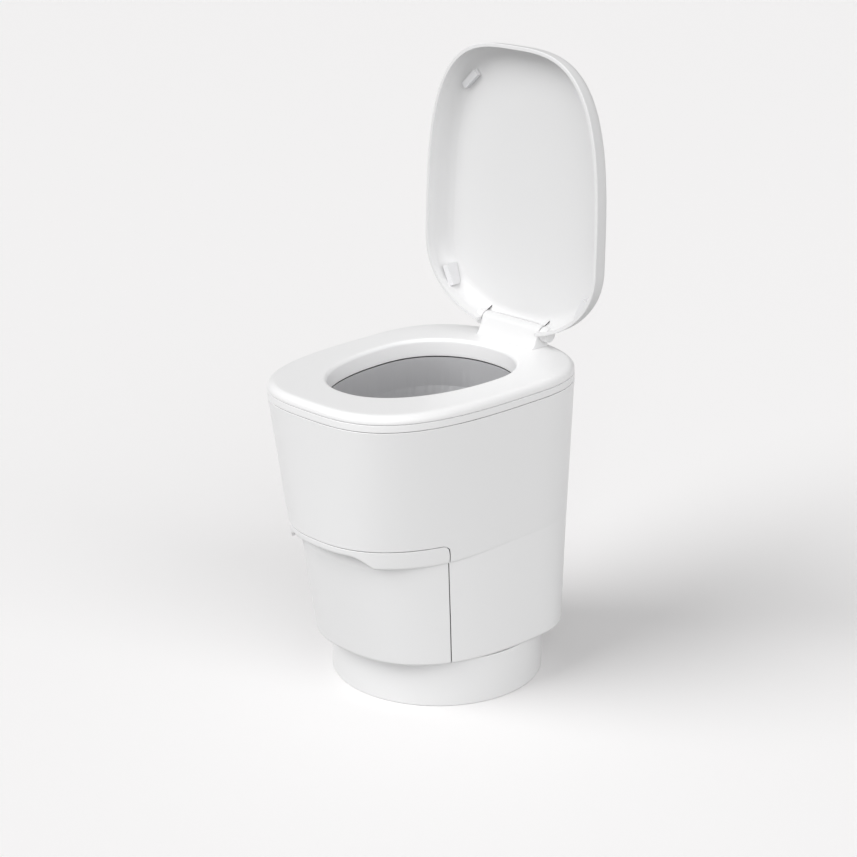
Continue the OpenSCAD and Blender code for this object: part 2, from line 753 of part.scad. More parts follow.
module front_flap() {
    color(white) {
        difference() {
            intersection() {
                loft(outer_levels);
                compartment(-seam / 2);
            }
            difference() {
                block(-grip_half_w, grip_half_w, -far, -flap_side, shelf_z - 12, grip_z);
                loft([[shelf_z - 20, lower(shelf_z - 20)],
                    [shelf_z - 8, lower(shelf_z - 8)],
                    [shelf_z, shrink(lower(shelf_z), grip_scoop * 0.25)],
                    [mix(shelf_z, grip_z, 0.5), shrink(lower(shelf_z), grip_scoop * 0.7)],
                    [grip_z + 1, shrink(lower(shelf_z), grip_scoop)]]);
            }
            loft([[pan_z, shrink(lower(pan_z), wall)],
                [shelf_z - 40, shrink(lower(shelf_z - 40), wall)],
                [shelf_z - 16, shrink(lower(shelf_z - 16), wall + grip_scoop)],
                [flap_top_z - seam / 2 - wall, shrink(lower(shelf_z), wall + grip_scoop)]]);
            difference() {
                loft([[shelf_z + wall, shrink(upper(shelf_z + wall), wall)],
                    [flap_top_z - seam / 2 - wall, shrink(upper(flap_top_z), wall)]]);
                block(-grip_half_w - wall, grip_half_w + wall, -far, 0, 0, far);
            }
        }
        difference() {
            intersection() {
                both_sides() block(flap_rib_x - 6, flap_rib_x + 6, -far, -tray_front, tray_z, rail_z + rail_h + 12);
                loft([[pan_z, shrink(lower(pan_z), 1)], [shelf_z - 16, shrink(lower(shelf_z - 16), 1)]]);
            }
            both_sides() rod_y(flap_rib_x, flap_screw_z, -tray_front - 12, far, 2);
        }
    }
}
module flap_screws() {
    color(steel) both_sides() {
        rod_y(flap_rib_x, flap_screw_z, -tray_front - 11, -tray_front + tray_t, 2);
    }
}
catch_t = 2;
module catch_plate() {
    color(steel) block(-12, 12, tray_rear, tray_rear + catch_t, tray_z, tray_z + 16);
}
module magnet_catch() {
    color(dark) block(-15, 15, tray_rear + catch_t + clear, tray_rear + catch_t + 12, pan_top, tray_z + 18);
}

// The seat ring, its hinge block and its buffers
roll_r = tilt_rise - clear;
pin_grip = 8;
module seat_ring() {
    color(white) difference() {
        union() {
            loft([[seat_z, shrink(seat_section, 1.2)],
                [seat_z + 1.5, seat_section],
                [seat_top - seat_edge * 0.75, shrink(seat_section, 0.3)],
                [seat_top - seat_edge * 0.4, shrink(seat_section, seat_edge * 0.22)],
                [seat_top - seat_edge * 0.14, shrink(seat_section, seat_edge * 0.55)],
                [seat_top, shrink(seat_section, seat_edge)]]);
            plate(shrink(open_section, -wall), seat_top - skirt_h, seat_z + 1);
        }
        loft([[seat_top - skirt_h - 1, open_section],
            [seat_top - 4, open_section],
            [seat_top - 1.2, shrink(open_section, -1.5)],
            [seat_top + 0.5, shrink(open_section, -5)]]);
        difference() {
            block(-far, far, tilt_y, far, 0, tilt_z);
            rod_x(tilt_y, tilt_z, -far, far, roll_r);
        }
        both_sides() block(ear_x - clear, ear_x + ear_w + clear, tilt_y - 9.5, far, 0, far);
        both_sides() rod_x(tilt_y, tilt_z, ear_x - pin_grip, ear_x + ear_w + pin_grip, tilt_pin_r);
        for (p = buffer_places) rod_z(p[0], p[1], seat_z - 1, seat_z + 2, 8 + run_fit);
    }
}
buffer_places = [[-150, 40], [150, 40], [-95, -205], [95, -205]];
module seat_buffers() {
    color([0.85, 0.85, 0.85]) for (p = buffer_places) rod_z(p[0], p[1], collar_top + clear / 3, seat_z + 2, 8);
}
module tilt_pins() {
    color(steel) both_sides() rod_x(tilt_y, tilt_z, ear_x - pin_grip, ear_x + ear_w + pin_grip, tilt_pin_r);
}
damper_in = 16;
module hinge_block() {
    color(white) difference() {
        union() {
            rod_x(hinge_y, hinge_z, -block_half_w, block_half_w, barrel_r);
            translate([-block_half_w, 0, 0]) rotate([90, 0, 90]) linear_extrude(2 * block_half_w)
                polygon([[hinge_y - barrel_r * 2, seat_top], [hinge_y - barrel_r * 0.94, hinge_z + barrel_r * 0.34],
                    [hinge_y, hinge_z], [hinge_y + barrel_r, hinge_z], [hinge_y + barrel_r - 2, seat_top]]);
        }
        both_sides() rod_x(hinge_y, hinge_z, damper_in, block_half_w + 1, damper_r + run_fit);
    }
}
module damper_barrels() {
    color(grey) both_sides() difference() {
        rod_x(hinge_y, hinge_z, damper_in, block_half_w, damper_r);
        rod_x(hinge_y, hinge_z, damper_in + 14, block_half_w + 1, lid_pin_r + run_fit);
    }
}

// The lid, drawn closed and then turned up about its hinge axis
module opened() {
    translate([0, hinge_y, hinge_z]) rotate([-lid_open, 0, 0]) translate([0, -hinge_y, -hinge_z]) children();
}
function lid_levels(inset, h) = [
    [rim_z, shrink(lid_section, inset)],
    [rim_z + h * 0.27, shrink(lid_section, inset + 0.8)],
    [rim_z + h * 0.52, shrink(lid_section, inset + 2.8)],
    [rim_z + h * 0.7, shrink(lid_section, inset + 6.6)],
    [rim_z + h * 0.85, shrink(lid_section, inset + 12.6)],
    [rim_z + h * 0.95, shrink(lid_section, inset + 20)],
    [rim_z + h, shrink(lid_section, inset + 34)]
];
lid_inside = concat([[rim_z - 1, shrink(lid_section, lid_rim)], [rim_z + lid_rim, shrink(lid_section, lid_rim)]],
    [for (i = [1:6]) lid_levels(wall, lid_h - wall)[i]]);
notch_y = hinge_y - 24;
arm_w = 14;
arm_gap = 1.5;
arm_in = block_half_w + arm_gap;
arm_top = rim_z + lid_h - wall;
module lid_shell() {
    color(white) opened() difference() {
        loft(lid_levels(0, lid_h));
        loft(lid_inside);
        block(-arm_in, arm_in, notch_y, far, 0, hinge_z);
        block(-arm_in, arm_in, hinge_y - 8, far, 0, far);
        rod_x(hinge_y, hinge_z, -arm_in, arm_in, barrel_r + 1);
        both_sides() block(arm_in - 1, arm_in + arm_w, notch_y, far, 0, far);
    }
}
module lid_arms() {
    color(white) opened() both_sides() difference() {
        union() {
            rod_x(hinge_y, hinge_z, arm_in, arm_in + arm_w, barrel_r - 1);
            translate([arm_in, 0, 0]) rotate([90, 0, 90]) linear_extrude(arm_w) polygon([
                [notch_y, hinge_z + 2], [hinge_y - barrel_r * 0.9, hinge_z - barrel_r * 1.3],
                [hinge_y + barrel_r * 0.3, hinge_z - barrel_r * 1.3],
                [hinge_y + barrel_r * 0.7, hinge_z - barrel_r * 0.6],
                [hinge_y, hinge_z + barrel_r - 1], [hinge_y - 10, arm_top], [notch_y, arm_top]]);
        }
        rod_x(hinge_y, hinge_z, 0, arm_in + arm_w - 3, lid_pin_r);
    }
}
module lid_hinge_pins() {
    color(steel) opened() both_sides()
        rod_x(hinge_y, hinge_z, damper_in + 15, arm_in + arm_w - 3, lid_pin_r);
}
// Each pad: [where round the lid's outline, how far in from it, its turn, its height]
pad_places = [[-51.5, 26, -47, pad_h], [33, 14, 26, rear_pad_h]];
module lid_pads() {
    color([0.85, 0.85, 0.85]) opened() intersection() {
        loft(lid_levels(wall, lid_h - wall));
        both_sides() for (p = pad_places)
            translate(concat(oval_point(shrink(lid_section, p[1]), p[0]), [rim_z + lid_h - wall - p[3]]))
                rotate([0, 0, p[2]]) translate([-pad_w / 2, -pad_l / 2, 0]) cube([pad_w, pad_l, far]);
    }
}

floor_plinth();
plinth_flange();
plinth_deck();
slide_ring();
turntable();
swivel_bolt();
floor_pan();
main_shell();
collar();
left_frame();
right_frame();
rear_plate();
front_beam();
cassette_bucket();
liner_cassette();
film_pack();
liner_film();
fixed_jaw();
counter_pad();
guide_rods();
spindle_bearing();
jaw_motor();
drive_belt();
feed_motor();
control_board();
board_standoffs();
power_inlet();
outer_rails();
magnet_catch();
lid_switch();
shell_screws();
moving_jaw();
heater_bar();
jaw_nut();
spindle();
spindle_pulley();
motor_pulley();
feed_shaft();
feed_sleeve();
feed_gear();
idler_shaft();
idler_sleeve();
idler_gear();
middle_rails();
inner_rails();
drawer_tray();
waste_bin();
front_flap();
flap_screws();
catch_plate();
seat_ring();
hinge_block();
seat_buffers();
tilt_pins();
damper_barrels();
lid_shell();
lid_arms();
lid_pads();
lid_hinge_pins();
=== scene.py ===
"""Dresses the waterless sealing toilet and photographs it from the front right.

Every length here is in millimetres until a mesh is made, when it becomes metres. The part's frame has +Z up
and its front faces -Y; its origin is on the floor, on the swivel axis.
"""

import json
import logging
import math
from dataclasses import astuple, dataclass
from enum import Enum
from typing import Callable, Sequence

import bpy
import numpy as np
from mathutils import Matrix, Vector

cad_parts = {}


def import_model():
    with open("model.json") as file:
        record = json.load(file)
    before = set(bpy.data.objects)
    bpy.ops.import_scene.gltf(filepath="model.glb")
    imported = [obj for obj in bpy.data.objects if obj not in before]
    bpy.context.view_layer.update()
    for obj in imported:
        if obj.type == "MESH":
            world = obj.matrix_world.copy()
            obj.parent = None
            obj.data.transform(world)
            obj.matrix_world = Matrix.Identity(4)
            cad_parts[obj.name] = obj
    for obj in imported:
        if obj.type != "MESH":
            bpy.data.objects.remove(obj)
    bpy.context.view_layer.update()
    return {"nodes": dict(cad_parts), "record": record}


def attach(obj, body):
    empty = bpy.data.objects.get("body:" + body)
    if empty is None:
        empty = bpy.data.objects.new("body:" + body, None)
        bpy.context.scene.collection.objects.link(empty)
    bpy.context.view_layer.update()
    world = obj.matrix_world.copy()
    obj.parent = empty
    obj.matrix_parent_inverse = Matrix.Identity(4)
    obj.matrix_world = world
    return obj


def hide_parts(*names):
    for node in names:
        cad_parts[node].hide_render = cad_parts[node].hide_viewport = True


LOG = logging.getLogger("scene")
MM = 0.001
Array = np.ndarray
Point = tuple[float, float]
Triple = tuple[float, float, float]


# Outlines

@dataclass(frozen=True)
class Section:
    """A rounded oval: a front and a rear half that meet where it is widest."""

    half_width: float
    front: float
    rear: float
    front_power: float
    rear_power: float
    middle: float = 0.0

    def shrink(self, inset: Array | float) -> "Section":
        """Returns the section moved in by inset all round."""
        return Section(self.half_width - inset, self.front - inset, self.rear - inset,
                       self.front_power, self.rear_power, self.middle)

    def mix(self, other: "Section", share: float) -> "Section":
        """Returns the section a share of the way to another one."""
        return Section(*[a + (b - a) * share for a, b in zip(astuple(self), astuple(other))])

    def outline(self, angles: Array) -> Array:
        """Returns the outline's points, on half a superellipse in front and another behind.

        Args:
            angles: Parameter of each point, in radians; 0 is +X and a quarter turn is the rear.

        Returns:
            An array of (x, y) rows.
        """
        cos, sin = np.cos(angles), np.sin(angles)
        power = np.where(sin < 0, self.front_power, self.rear_power)
        reach = np.where(sin < 0, self.front + self.middle, self.rear - self.middle)
        x = self.half_width * np.sign(cos) * np.abs(cos) ** (2 / power)
        y = self.middle + reach * np.sign(sin) * np.abs(sin) ** (2 / power)
        return np.stack([x, y], axis=-1)

    def rear_at(self, x: Array | float) -> Array | float:
        """Returns how far back the outline runs at a distance from the middle plane.

        Args:
            x: The distance, one or many.

        Returns:
            The outline's Y there: the rear quarter solved for Y.
        """
        power = self.rear_power
        side = np.clip(np.abs(x) / self.half_width, 0, 1)
        return self.middle + (self.rear - self.middle) * (1 - side ** power) ** (1 / power)


def even_angles(section: Section, spacing: float, fine: Sequence[Triple] = ()) -> Array:
    """Parameters that step evenly round an outline, closer where |x| lies in a fine band.

    A dense outline's travel, divided by the spacing that is wanted at each place, is cut into equal parts.

    Args:
        section: The outline to step round.
        spacing: Usual distance between points.
        fine: Bands as (lowest |x|, highest |x|, spacing there).

    Returns:
        The parameters in rising order, from 0 to just under a full turn.
    """
    dense = np.linspace(0, 2 * math.pi, 40001)
    points = section.outline(dense)
    steps = np.linalg.norm(np.diff(points, axis=0), axis=1)
    middle = np.abs((points[1:, 0] + points[:-1, 0]) / 2)
    wanted = np.full(len(steps), spacing)
    for low, high, close in fine:
        inside = np.clip(1 - np.maximum(low - middle, middle - high) / (4 * spacing), 0, 1)
        wanted = np.minimum(wanted, spacing + (close - spacing) * inside)
    travel = np.concatenate([[0], np.cumsum(steps / wanted)])
    count = int(round(travel[-1] / 4)) * 4
    return np.interp(np.linspace(0, travel[-1], count, endpoint=False), travel, dense)


def arc(centre: Point, radius: float, start: float, end: float, steps: int) -> list[Point]:
    """Returns points at even turns round a centre, from start to end in degrees, both ends included."""
    turns = [math.radians(start + (end - start) * k / steps) for k in range(steps + 1)]
    return [(centre[0] + radius * math.cos(turn), centre[1] + radius * math.sin(turn)) for turn in turns]


def smooth(value: Array | float, low: float, high: float) -> Array | float:
    """Returns a smooth step from 0 at low to 1 at high, a cubic that is level at both."""
    share = np.clip((value - low) / (high - low), 0, 1)
    return share * share * (3 - 2 * share)


def unit(vectors: Array) -> Array:
    """Returns vectors of length 1, along the last axis."""
    return vectors / np.maximum(np.linalg.norm(vectors, axis=-1, keepdims=True), 1e-12)


def facing(outline: Array) -> Array:
    """Returns the way out of a counter-clockwise outline at each point, a quarter turn from its run."""
    run = unit(np.roll(outline, -1, axis=0) - np.roll(outline, 1, axis=0))
    return np.stack([run[:, 1], -run[:, 0]], axis=-1)


def quads(a: Array, b: Array, c: Array, d: Array) -> Array:
    """Returns two triangles for every four corners that follow each other round."""
    halves = [np.stack(corners, -1).reshape(-1, 3) for corners in ((a, b, c), (a, c, d))]
    return np.concatenate(halves)


# Surfaces

@dataclass
class Skin:
    """A triangle surface with its own smooth normals."""

    points: Array
    normals: Array
    faces: Array

    @classmethod
    def from_grid(cls, grid: Array, ring: bool = False, capped: bool = False) -> "Skin":
        """Makes a surface of rows that each run once round.

        A point's normal is the cross product of the steps along its row and across the rows.

        Args:
            grid: Points as (rows, columns, 3). Rows close on themselves, counter-clockwise seen from above,
                and the next row lies above, so that the outside is outside.
            ring: Whether the last row joins the first one.
            capped: Whether a fan closes the last row.

        Returns:
            The surface.
        """
        rows, columns = grid.shape[:2]
        along = np.roll(grid, -1, axis=1) - np.roll(grid, 1, axis=1)
        if ring:
            across = np.roll(grid, -1, axis=0) - np.roll(grid, 1, axis=0)
        else:
            padded = np.concatenate([2 * grid[:1] - grid[1:2], grid, 2 * grid[-1:] - grid[-2:-1]])
            across = padded[2:] - padded[:-2]
        normals = unit(np.cross(along, across))
        index = np.arange(rows * columns).reshape(rows, columns)
        upper = np.roll(index, -1, axis=0) if ring else index[1:]
        lower = index if ring else index[:-1]
        faces = quads(lower, np.roll(lower, -1, axis=1), np.roll(upper, -1, axis=1), upper)
        points, normals = grid.reshape(-1, 3).astype(float), normals.reshape(-1, 3)
        if capped:
            hub = np.full(columns, len(points))
            faces = np.concatenate([faces, np.stack([index[-1], np.roll(index[-1], -1), hub], 1)])
            points = np.concatenate([points, grid[-1].mean(axis=0)[None]])
            normals = np.concatenate([normals, [[0.0, 0.0, 1.0]]])
        return cls(points, normals, faces)

    def clipped(self, value: Array) -> "Skin":
        """Cuts the surface along the line where a value passes zero.

        A crossed side is cut where the value, straight between its ends, is zero.

        Args:
            value: A number for each point.

        Returns:
            The part where the value is not negative.
        """
        inside = value >= 0
        count = inside[self.faces].sum(axis=1)
        kept = [self.faces[count == 3]]
        mixed = self.faces[(count == 1) | (count == 2)]
        lone_is_inside = count[(count == 1) | (count == 2)] == 1
        lone = np.argmax(inside[mixed] == lone_is_inside[:, None], axis=1)
        take = np.arange(len(mixed))
        tip, left, right = mixed[take, lone], mixed[take, (lone + 1) % 3], mixed[take, (lone + 2) % 3]
        pairs = np.sort(np.concatenate([np.stack([tip, left], 1), np.stack([tip, right], 1)]), axis=1)
        edges, where = np.unique(pairs, axis=0, return_inverse=True)
        where = where.reshape(-1)
        share = (value[edges[:, 0]] / (value[edges[:, 0]] - value[edges[:, 1]]))[:, None]
        cut = self.points[edges[:, 0]] * (1 - share) + self.points[edges[:, 1]] * share
        turned = unit(self.normals[edges[:, 0]] * (1 - share) + self.normals[edges[:, 1]] * share)
        start = len(self.points)
        to_left, to_right = start + where[:len(tip)], start + where[len(tip):]
        one, two = lone_is_inside, ~lone_is_inside
        kept.append(np.stack([tip[one], to_left[one], to_right[one]], 1))
        kept.append(np.stack([left[two], right[two], to_right[two]], 1))
        kept.append(np.stack([left[two], to_right[two], to_left[two]], 1))
        return Skin(np.concatenate([self.points, cut]), np.concatenate([self.normals, turned]),
                    np.concatenate(kept)).tidied()

    def tidied(self) -> "Skin":
        """Returns the surface without unused points."""
        used, faces = np.unique(self.faces, return_inverse=True)
        return Skin(self.points[used], self.normals[used], faces.reshape(-1, 3))

    def rim(self) -> Array:
        """Finds the directed edges that only one triangle has.

        Returns:
            Their rows of two point numbers.
        """
        a = self.faces[:, [0, 1, 2]].reshape(-1)
        b = self.faces[:, [1, 2, 0]].reshape(-1)
        size = len(self.points)
        return np.stack([a, b], 1)[~np.isin(a * size + b, b * size + a)]

    def thickened(self, wall: Array | float, edge: float, steps: int = 4) -> "Skin":
        """Returns a closed shell: this surface outside, its copy inside and rolled edges between them.

        A rolled edge is a quarter circle from the normal to the way out: the rim's run crossed with it.

        Args:
            wall: Thickness, one for all or one for each point.
            edge: Radius of the rolled outer edge, which stands out past the surface's rim.
            steps: Facets of the rolled edge.

        Returns:
            The closed shell.
        """
        wall = np.broadcast_to(wall, len(self.points))[:, None]
        rim = self.rim()
        owners, local = np.unique(rim, return_inverse=True)
        local = local.reshape(-1, 2)
        point, normal = self.points[owners], self.normals[owners]
        run = unit(self.points[rim[:, 1]] - self.points[rim[:, 0]])
        outward = unit(np.cross(run, unit(self.normals[rim[:, 0]] + self.normals[rim[:, 1]])))
        out = np.zeros_like(point)
        for end in (0, 1):
            np.add.at(out, local[:, end], outward)
        out = unit(out - normal * np.sum(out * normal, axis=1, keepdims=True))
        reach = np.zeros(len(owners))
        for end in (0, 1):
            np.add.at(reach, local[:, end], np.sum(out[local[:, end]] * outward, axis=1) / 2)
        step_out = out / np.clip(reach, 0.65, 1)[:, None]
        rings, turned = [], []
        for k in range(1, steps + 1):
            angle = math.pi / 2 * k / steps
            rings.append(point + step_out * edge * math.sin(angle) - normal * edge * (1 - math.cos(angle)))
            turned.append(normal * math.cos(angle) + out * math.sin(angle))
        back = min(0.4, edge / 2)
        rings.append(point + step_out * edge - normal * (wall[owners] - back))
        turned.append(out)
        rings.append(point + step_out * (edge - back) - normal * wall[owners])
        turned.append(-normal)
        size = len(self.points)
        faces = [self.faces, self.faces[:, ::-1] + size]
        ring = np.arange(len(owners))
        levels = [owners] + [2 * size + len(owners) * k + ring for k in range(len(rings))] + [size + owners]
        for near, far in zip(levels[:-1], levels[1:]):
            faces.append(quads(near[local[:, 1]], near[local[:, 0]], far[local[:, 0]], far[local[:, 1]]))
        return Skin(np.concatenate([self.points, self.points - self.normals * wall] + rings),
                    np.concatenate([self.normals, -self.normals] + turned), np.concatenate(faces))

    def moved(self, change: Callable[[Array], Array], turn: Callable[[Array], Array]) -> "Skin":
        """Returns the surface with its points and its normals put through two functions."""
        return Skin(change(self.points), turn(self.normals), self.faces)

    def joined(self, other: "Skin") -> "Skin":
        """Returns both surfaces as one."""
        return Skin(np.concatenate([self.points, other.points]),
                    np.concatenate([self.normals, other.normals]),
                    np.concatenate([self.faces, other.faces + len(self.points)]))

    def mirrored(self) -> "Skin":
        """Returns the surface mirrored left to right."""
        flip = np.array([-1.0, 1.0, 1.0])
        return Skin(self.points * flip, self.normals * flip, self.faces[:, ::-1])

    def facing_out(self) -> "Skin":
        """Turns the triangles of a closed surface outwards.

        Returns:
            The surface, whose triangles then enclose a positive volume.
        """
        a, b, c = (self.points[self.faces[:, k]] for k in range(3))
        if np.sum(np.cross(a, b) * c) < 0:
            return Skin(self.points, self.normals, self.faces[:, ::-1])
        return self


def bar(profile: Array, low: float, high: float, edge: float, steps: int = 3, ease: Array | float = 1.0,
        hub: Point | None = None) -> Skin:
    """A solid along X with one outline in Y and Z and rounded ends.

    Each end's rows shrink the outline by a quarter circle's inset while they go out to the end.

    Args:
        profile: Closed outline as (y, z) rows, counter-clockwise seen from +X.
        low: Where it begins along X.
        high: Where it ends along X.
        edge: Radius of its end edges.
        steps: Facets of each rounded end.
        ease: How much of the end rounding each point of the outline takes.
        hub: The point (y, z) that each end's triangles meet in; the outline's mean if not given.

    Returns:
        The closed solid.
    """
    out = facing(profile)
    ease = np.broadcast_to(ease, len(profile))[:, None]
    turns = [math.pi / 2 * k / steps for k in range(steps + 1)]
    levels = [(low + edge - edge * math.cos(turn), edge - edge * math.sin(turn)) for turn in turns]
    levels += [(low + high - x, inset) for x, inset in reversed(levels)]
    leans = [turn - math.pi / 2 for turn in turns]
    leans += [-lean for lean in reversed(leans)]
    rows, normals = [], []
    for (x, inset), lean in zip(levels, leans):
        shape = profile - out * inset * ease
        rows.append(np.column_stack([np.full(len(shape), x), shape]))
        normals.append(np.column_stack([np.full(len(shape), math.sin(lean)), out * math.cos(lean)]))
    count = len(profile)
    index = np.arange(len(rows) * count).reshape(len(rows), count)
    near, far = index[:-1], index[1:]
    faces = [quads(near, np.roll(near, -1, axis=1), np.roll(far, -1, axis=1), far)]
    points = np.concatenate(rows)
    turned = np.concatenate(normals)
    for row, side in ((0, -1.0), (len(rows) - 1, 1.0)):
        start = len(points)
        ring = rows[row]
        centre = ring.mean(axis=0) if hub is None else np.array([ring[0, 0], *hub])
        points = np.concatenate([points, ring, centre[None]])
        turned = np.concatenate([turned, np.tile([side, 0.0, 0.0], (count + 1, 1))])
        around = np.arange(count)
        fan = start + np.stack([around, np.roll(around, -1), np.full(count, count)], 1)
        faces.append(fan if side > 0 else fan[:, ::-1])
    return Skin(points, turned, np.concatenate(faces)).facing_out()


# Finishes

class Slot(Enum):
    """Material slots of the record."""

    WHITE = "white_plastic"
    SOFT = "soft_white"
    GREY = "grey_plastic"
    DARK = "dark_plastic"
    FILM = "film"
    BOARD = "board"
    STEEL = "steel"
    ALUMINIUM = "aluminium"
    BRASS = "brass"
    RUBBER = "rubber"
    SILICONE = "silicone"


@dataclass(frozen=True)
class Finish:
    """A procedural finish: one base colour with a fine bump and a slight unevenness of its gloss."""

    name: str
    slot: Slot
    color: Triple
    roughness: float
    metallic: float = 0.0
    coat: float = 0.0
    bump_size: float = 400.0
    bump: float = 0.02
    uneven: float = 0.03

    def material(self) -> bpy.types.Material:
        """Makes the material on first use: noise on Object coordinates drives its bump and its gloss.

        Returns:
            The material.
        """
        found = bpy.data.materials.get(self.name)
        if found:
            return found
        material = bpy.data.materials.new(self.name)
        material.use_nodes = True
        nodes, links = material.node_tree.nodes, material.node_tree.links
        shader = nodes["Principled BSDF"]
        shader.inputs["Base Color"].default_value = (*self.color, 1.0)
        shader.inputs["Metallic"].default_value = self.metallic
        shader.inputs["Coat Weight"].default_value = self.coat
        shader.inputs["Coat Roughness"].default_value = 0.12
        place = nodes.new("ShaderNodeTexCoord")
        noise = nodes.new("ShaderNodeTexNoise")
        noise.inputs["Scale"].default_value = self.bump_size
        noise.inputs["Detail"].default_value = 3.0
        links.new(place.outputs["Object"], noise.inputs["Vector"])
        bump = nodes.new("ShaderNodeBump")
        bump.inputs["Strength"].default_value = self.bump
        bump.inputs["Distance"].default_value = 0.0004
        links.new(noise.outputs["Fac"], bump.inputs["Height"])
        links.new(bump.outputs["Normal"], shader.inputs["Normal"])
        spread = nodes.new("ShaderNodeMapRange")
        spread.inputs["To Min"].default_value = max(0.02, self.roughness - self.uneven)
        spread.inputs["To Max"].default_value = self.roughness + self.uneven
        links.new(noise.outputs["Fac"], spread.inputs["Value"])
        links.new(spread.outputs["Result"], shader.inputs["Roughness"])
        return material


WHITE = Finish("gloss_white", Slot.WHITE, (0.92, 0.92, 0.922), 0.32, coat=0.15, bump=0.002)
# Painted shade: the body's white made darker, standing in for the shade on the lid's inside and on the hinge
# block.
PAINTED_SHADE_WHITE = Finish("painted_shade_white", Slot.WHITE, (0.8, 0.8, 0.802), 0.4, bump=0.002)
SOFT = Finish("soft_pads", Slot.SOFT, (0.78, 0.78, 0.79), 0.5)
GREY = Finish("grey_moulding", Slot.GREY, (0.3, 0.3, 0.31), 0.45, bump=0.08)
DARK = Finish("dark_moulding", Slot.DARK, (0.03, 0.03, 0.033), 0.4, bump=0.1)
FILM = Finish("grey_film", Slot.FILM, (0.46, 0.46, 0.47), 0.42, bump=0.1, bump_size=60.0)
BOARD = Finish("green_board", Slot.BOARD, (0.02, 0.12, 0.05), 0.35)
STEEL = Finish("zinc_steel", Slot.STEEL, (0.5, 0.51, 0.53), 0.35, metallic=1.0, bump=0.05, uneven=0.08)
ALUMINIUM = Finish("milled_aluminium", Slot.ALUMINIUM, (0.62, 0.63, 0.65), 0.3, metallic=1.0, bump=0.04)
BRASS = Finish("turned_brass", Slot.BRASS, (0.62, 0.46, 0.2), 0.3, metallic=1.0)
RUBBER = Finish("black_rubber", Slot.RUBBER, (0.02, 0.02, 0.02), 0.7, bump=0.15)
SILICONE = Finish("heat_silicone", Slot.SILICONE, (0.3, 0.05, 0.025), 0.55)
FINISHES = (WHITE, SOFT, GREY, DARK, FILM, BOARD, STEEL, ALUMINIUM, BRASS, RUBBER, SILICONE)


def make_piece(name: str, skin: Skin, finish: Finish, body: str,
               nodes: Sequence[str] = ()) -> None:
    """Puts a surface into the scene as a piece of the object.

    Args:
        name: The piece's name.
        skin: Its surface, in millimetres.
        finish: What it is made of.
        body: The body that it rides on.
        nodes: The nodes that it stands for.
    """
    mesh = bpy.data.meshes.new(name)
    mesh.from_pydata((skin.points * MM).tolist(), [], skin.faces.tolist())
    mesh.polygons.foreach_set("use_smooth", np.ones(len(skin.faces), dtype=bool))
    mesh.materials.append(finish.material())
    mesh.normals_split_custom_set_from_vertices(unit(skin.normals).tolist())
    mesh.update()
    piece = bpy.data.objects.new(name, mesh)
    bpy.context.scene.collection.objects.link(piece)
    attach(piece, body)
    if nodes:
        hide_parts(*nodes)
    LOG.info("%s: %d triangles on %s", name, len(skin.faces), body)


# The body

